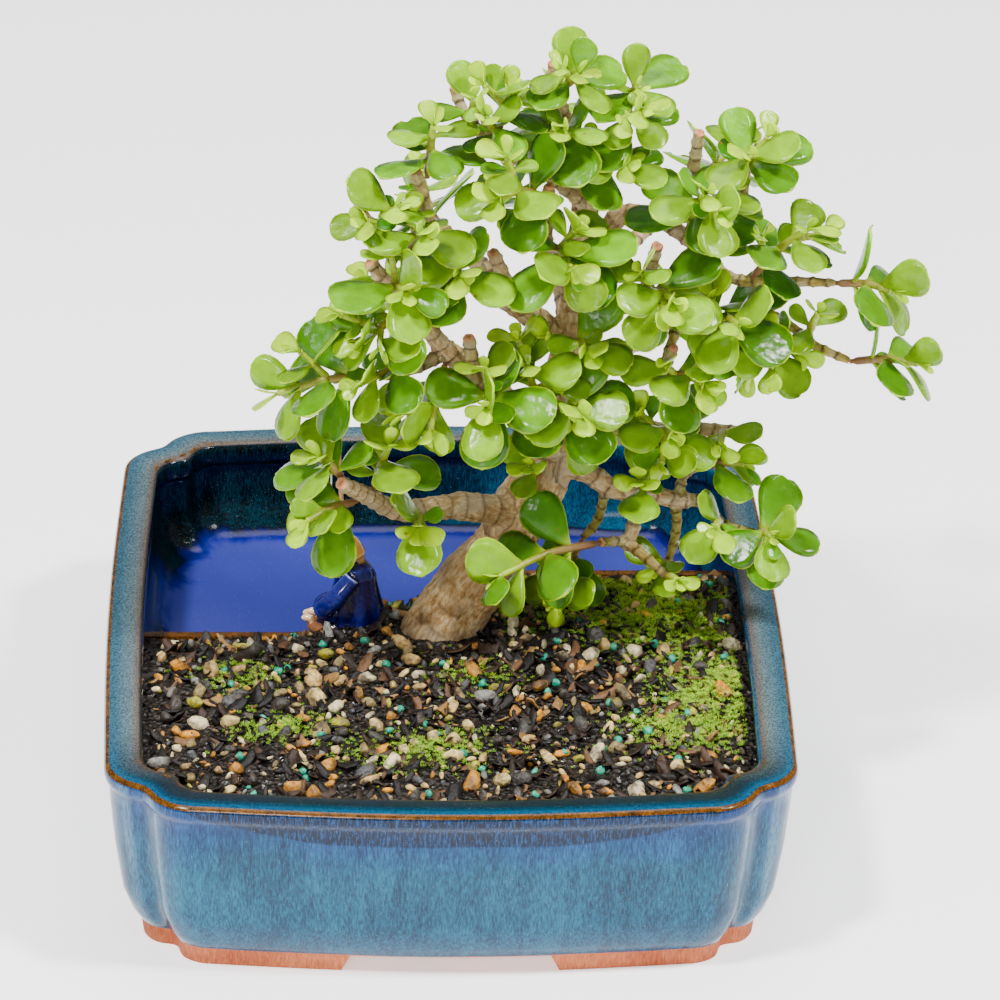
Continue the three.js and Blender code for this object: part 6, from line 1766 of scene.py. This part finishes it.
def rod_piece():
    """The cane, with a ring at each joint and a rounded top."""
    steps = 160
    share = np.linspace(0, 1, steps + 1)
    at = ROD_FOOT + np.outer(share, ROD_TIP - ROD_FOOT)
    length = math.dist(ROD_FOOT, ROD_TIP)
    distance = np.abs((share * length - 5) / 11.5 - np.round((share * length - 5) / 11.5)) * 11.5
    joint = np.exp(-(distance / 0.5) ** 2)
    radius = ROD_RADIUS * (0.93 - 0.06 * share + 0.16 * joint)
    radius[-2:] *= (0.9, 0.6)
    way = unit(ROD_TIP - ROD_FOOT)
    side = unit(np.cross(way, (0, 1, 0)))
    frame_rows = np.tile(side, (steps + 1, 1)), np.tile(np.cross(way, side), (steps + 1, 1))
    points, faces = skin(at, *frame_rows, radius, 20)
    piece = new_object("bamboo_rod", points, faces, bamboo_material())
    store(piece.data, "joint", np.concatenate([np.repeat(joint, 20), [0, 0]]) * 0.7)
    return piece


def line_piece():
    """The fishing line as one open curve along the same route as its solid."""
    walk = SmoothRoute(LINE_ROUTE)
    times = np.interp(np.linspace(0, walk.lengths[-1], 36), walk.lengths, walk.times)
    points = place(walk.at_time(times))
    curve = bpy.data.curves.new("thread_line", "CURVE")
    curve.dimensions, curve.bevel_depth, curve.bevel_resolution = "3D", LINE_RADIUS / 1000, 4
    curve.use_fill_caps = True
    spline = curve.splines.new("POLY")
    spline.points.add(len(points) - 1)
    spline.points.foreach_set("co", np.column_stack([points, np.ones(len(points))]).ravel())
    curve.materials.append(thread_material())
    piece = bpy.data.objects.new("thread_line", curve)
    bpy.context.collection.objects.link(piece)
    return piece, points, walk.lengths[-1] / 1000


# Stage: floor, light and camera
FOCAL_PIXELS, PICTURE_PIXELS, SENSOR_MM = 5167.8, 1000, 36.0
CAMERA_PITCH, CAMERA_YAW, CAMERA_ROLL = (math.radians(a) for a in (27.29, -2.52, 1.34))
CAMERA_TARGET, CAMERA_DISTANCE = np.array([21.7, 125.95, 30.0]), 1695.43


def stage_camera():
    """The camera at the photograph's viewing angle."""
    sin_yaw, cos_yaw = math.sin(CAMERA_YAW), math.cos(CAMERA_YAW)
    back = np.array([sin_yaw * math.cos(CAMERA_PITCH), -cos_yaw * math.cos(CAMERA_PITCH),
                     math.sin(CAMERA_PITCH)])
    level = np.array([cos_yaw, sin_yaw, 0])
    high = np.cross(back, level)
    across = level * math.cos(CAMERA_ROLL) + high * math.sin(CAMERA_ROLL)
    up = high * math.cos(CAMERA_ROLL) - level * math.sin(CAMERA_ROLL)
    data = bpy.data.cameras.new("Camera")
    data.sensor_width, data.lens = SENSOR_MM, FOCAL_PIXELS / PICTURE_PIXELS * SENSOR_MM
    data.clip_start, data.clip_end = 0.1, 50
    camera = bpy.data.objects.new("Camera", data)
    matrix = Matrix(np.stack([across, up, back], 1).tolist()).to_4x4()
    matrix.translation = place(CAMERA_TARGET + back * CAMERA_DISTANCE)
    camera.matrix_world = matrix
    bpy.context.collection.objects.link(camera)
    bpy.context.scene.camera = camera


def area_light(name, place_at, aim, size, power):
    data = bpy.data.lights.new(name, "AREA")
    data.shape, data.size, data.energy = "DISK", size, power
    light = bpy.data.objects.new(name, data)
    way = Vector(aim) - Vector(place_at)
    light.matrix_world = Matrix.Translation(place_at) @ way.to_track_quat("-Z", "Y").to_matrix().to_4x4()
    bpy.context.collection.objects.link(light)


def stage_floor():
    """A plain pale paper sweep."""
    floor = new_object("studio_floor", [(-8000, -8000, 0), (8000, -8000, 0), (8000, 8000, 0),
                                        (-8000, 8000, 0)], [[0, 1, 2, 3]])
    material, *_ = new_material("matt_white_paper", {
        "Base Color": "#FCFCFC", "Roughness": 0.9, "Emission Color": (1, 1, 1, 1),
        "Emission Strength": 0.7})
    floor.data.materials.append(material)
    return floor


# Settings, operators and panel
def hue(hex_value, label):
    return FloatVectorProperty(name=label, description=label + " as linear red, green and blue",
                               subtype="COLOR", size=3, min=0, max=1, default=colour(hex_value)[:3])


class BonsaiTreeSettings(bpy.types.PropertyGroup):
    """Sizes and colours of the tree."""
    leaf_size: FloatProperty(name="Leaf size", description="Leaf length against the solids' leaves",
                             default=1.04, min=0.5, max=1.2)
    stem_girth: FloatProperty(name="Stem girth", description="Green stem girth against the solids' stems",
                              default=1.0, min=0.5, max=1.5)
    leaf_dark: hue("#2A6200", "Grown leaf, deeper")
    leaf_light: hue("#5E9A00", "Grown leaf, lighter")
    leaf_young: hue("#B2D800", "Young leaf")
    leaf_rim: hue("#B0D418", "Leaf rim")
    cut_wood: hue("#D98E62", "Cut wood")


class BonsaiPotSettings(bpy.types.PropertyGroup):
    """Colours of the pot."""
    edge_brown: hue("#6C420E", "Glaze on the edges")


class BonsaiSoilSettings(bpy.types.PropertyGroup):
    """How much lies on the soil."""
    stones: IntProperty(name="Stones", description="Tries at setting a small stone", default=2100, min=0)
    prills: IntProperty(name="Prills", description="Fertiliser prills added to the solids' own", default=70,
                        min=0)
    flakes: IntProperty(name="Bark flakes", description="Flakes of bark and dead leaf", default=1700, min=0)
    moss: IntProperty(name="Moss", description="Tries at setting a moss star", default=20000, min=0)


class BonsaiStageSettings(bpy.types.PropertyGroup):
    """Strength of the studio light."""
    key_power: FloatProperty(name="Key light", description="Power of the two main lights", default=44.0,
                             min=0, unit="POWER")
    room_light: FloatProperty(name="Room light", description="Strength of the even light around",
                              default=0.3, min=0)


def ride(piece, slot, *nodes):
    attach(piece, "root")
    if nodes:
        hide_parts(*nodes)


class BONSAI_OT_stage(bpy.types.Operator):
    """Set the floor, the lights and the camera."""
    bl_idname = "bonsai.stage"
    bl_label = "Stage"

    def execute(self, context):
        look = context.scene.bonsai_stage
        stage_camera()
        stage_floor()
        area_light("Key left", (-0.7, -0.62, 1.6), (0, 0, 0.12), 0.24, look.key_power)
        area_light("Key right", (0.85, -0.4, 1.5), (0, 0, 0.12), 0.24, 0.85 * look.key_power)
        area_light("Top", (0, 0.35, 1.9), (0, 0, 0.1), 1.2, 0.4 * look.key_power)
        area_light("Front", (-0.35, -1.6, 1.0), (0, 0, 0.1), 0.3, 0.25 * look.key_power)
        world = bpy.data.worlds.new("Studio")
        world.use_nodes = True
        background = world.node_tree.nodes["Background"]
        background.inputs["Color"].default_value = (1, 1, 1, 1)
        background.inputs["Strength"].default_value = look.room_light
        context.scene.world = world
        return {"FINISHED"}


class BONSAI_OT_tackle(bpy.types.Operator):
    """Make the bamboo rod and the fishing line."""
    bl_idname = "bonsai.tackle"
    bl_label = "Rod and line"

    def execute(self, context):
        ride(rod_piece(), "bamboo", "fishing_rod")
        line, route, length = line_piece()
        ride(line, "white_thread", "fishing_line")
        return {"FINISHED"}


class BONSAI_OT_pot(bpy.types.Operator):
    """Make the glazed pot."""
    bl_idname = "bonsai.pot"
    bl_label = "Glazed pot"

    def execute(self, context):
        ride(pot_piece(context.scene.bonsai_pot), "jun_glaze", "pot")
        return {"FINISHED"}


class BONSAI_OT_soil(bpy.types.Operator):
    """Make the soil and what lies on it."""
    bl_idname = "bonsai.soil"
    bl_label = "Soil and ground cover"

    def execute(self, context):
        look = context.scene.bonsai_soil
        ride(soil_piece(), "wet_soil", "soil")
        for piece in ground_cover(look):
            ride(piece, "wet_soil")
        return {"FINISHED"}


class BONSAI_OT_wood(bpy.types.Operator):
    """Grow the trunk and its woody branches."""
    bl_idname = "bonsai.wood"
    bl_label = "Trunk and branches"

    def execute(self, context):
        ride(wood_piece(context.scene.bonsai_tree), "bark", "trunk")
        return {"FINISHED"}


class BONSAI_OT_foliage(bpy.types.Operator):
    """Grow the leafy stems."""
    bl_idname = "bonsai.foliage"
    bl_label = "Leafy stems"

    def execute(self, context):
        look = context.scene.bonsai_tree
        crown, sprays = grow_crown()
        bud_leaves(crown, sprays)
        shapes = [leaf_shape(f"leaf_{k}", *values) for k, values in enumerate(LEAF_SHAPES)]
        group = shape_collection("leaf shapes", shapes)
        tree = foliage_tree(leaf_surface_material(look), green_stem_material(), group)
        for spray in sprays:
            ride(spray_piece(spray, crown, tree, look), "leaf_green", spray["name"])
        bpy.data.collections.remove(group)
        for shape in shapes:
            bpy.data.objects.remove(shape)
        return {"FINISHED"}


class BONSAI_OT_fisherman(bpy.types.Operator):
    """Make the clay fisherman on its rock."""
    bl_idname = "bonsai.fisherman"
    bl_label = "Clay fisherman"

    def execute(self, context):
        ride(fisherman_piece(), "cobalt_glaze", "fisherman")
        return {"FINISHED"}


OPERATORS = (BONSAI_OT_stage, BONSAI_OT_tackle, BONSAI_OT_pot, BONSAI_OT_soil, BONSAI_OT_wood,
             BONSAI_OT_foliage, BONSAI_OT_fisherman)
SETTINGS = {"bonsai_tree": BonsaiTreeSettings, "bonsai_pot": BonsaiPotSettings,
            "bonsai_soil": BonsaiSoilSettings, "bonsai_stage": BonsaiStageSettings}


class BONSAI_PT_panel(bpy.types.Panel):
    """Sizes, colours and the buttons that make each piece."""
    bl_idname = "BONSAI_PT_panel"
    bl_label = "Dwarf jade bonsai"
    bl_space_type = "VIEW_3D"
    bl_region_type = "UI"
    bl_category = "Bonsai"

    def draw(self, context):
        for name, group in SETTINGS.items():
            box = self.layout.box()
            for key in group.__annotations__:
                box.prop(getattr(context.scene, name), key)
        for operator in OPERATORS:
            self.layout.operator(operator.bl_idname)


def register():
    for group in SETTINGS.values():
        bpy.utils.register_class(group)
    for name, group in SETTINGS.items():
        setattr(bpy.types.Scene, name, bpy.props.PointerProperty(type=group))
    for item in (*OPERATORS, BONSAI_PT_panel):
        bpy.utils.register_class(item)


def unregister():
    for item in reversed((*OPERATORS, BONSAI_PT_panel)):
        bpy.utils.unregister_class(item)
    for name in SETTINGS:
        delattr(bpy.types.Scene, name)
    for group in reversed(tuple(SETTINGS.values())):
        bpy.utils.unregister_class(group)


def main():
    register()
    for step in (bpy.ops.bonsai.stage, bpy.ops.bonsai.tackle, bpy.ops.bonsai.pot, bpy.ops.bonsai.soil,
                 bpy.ops.bonsai.wood, bpy.ops.bonsai.foliage, bpy.ops.bonsai.fisherman):
        step()


if __name__ == "__main__":
    main()
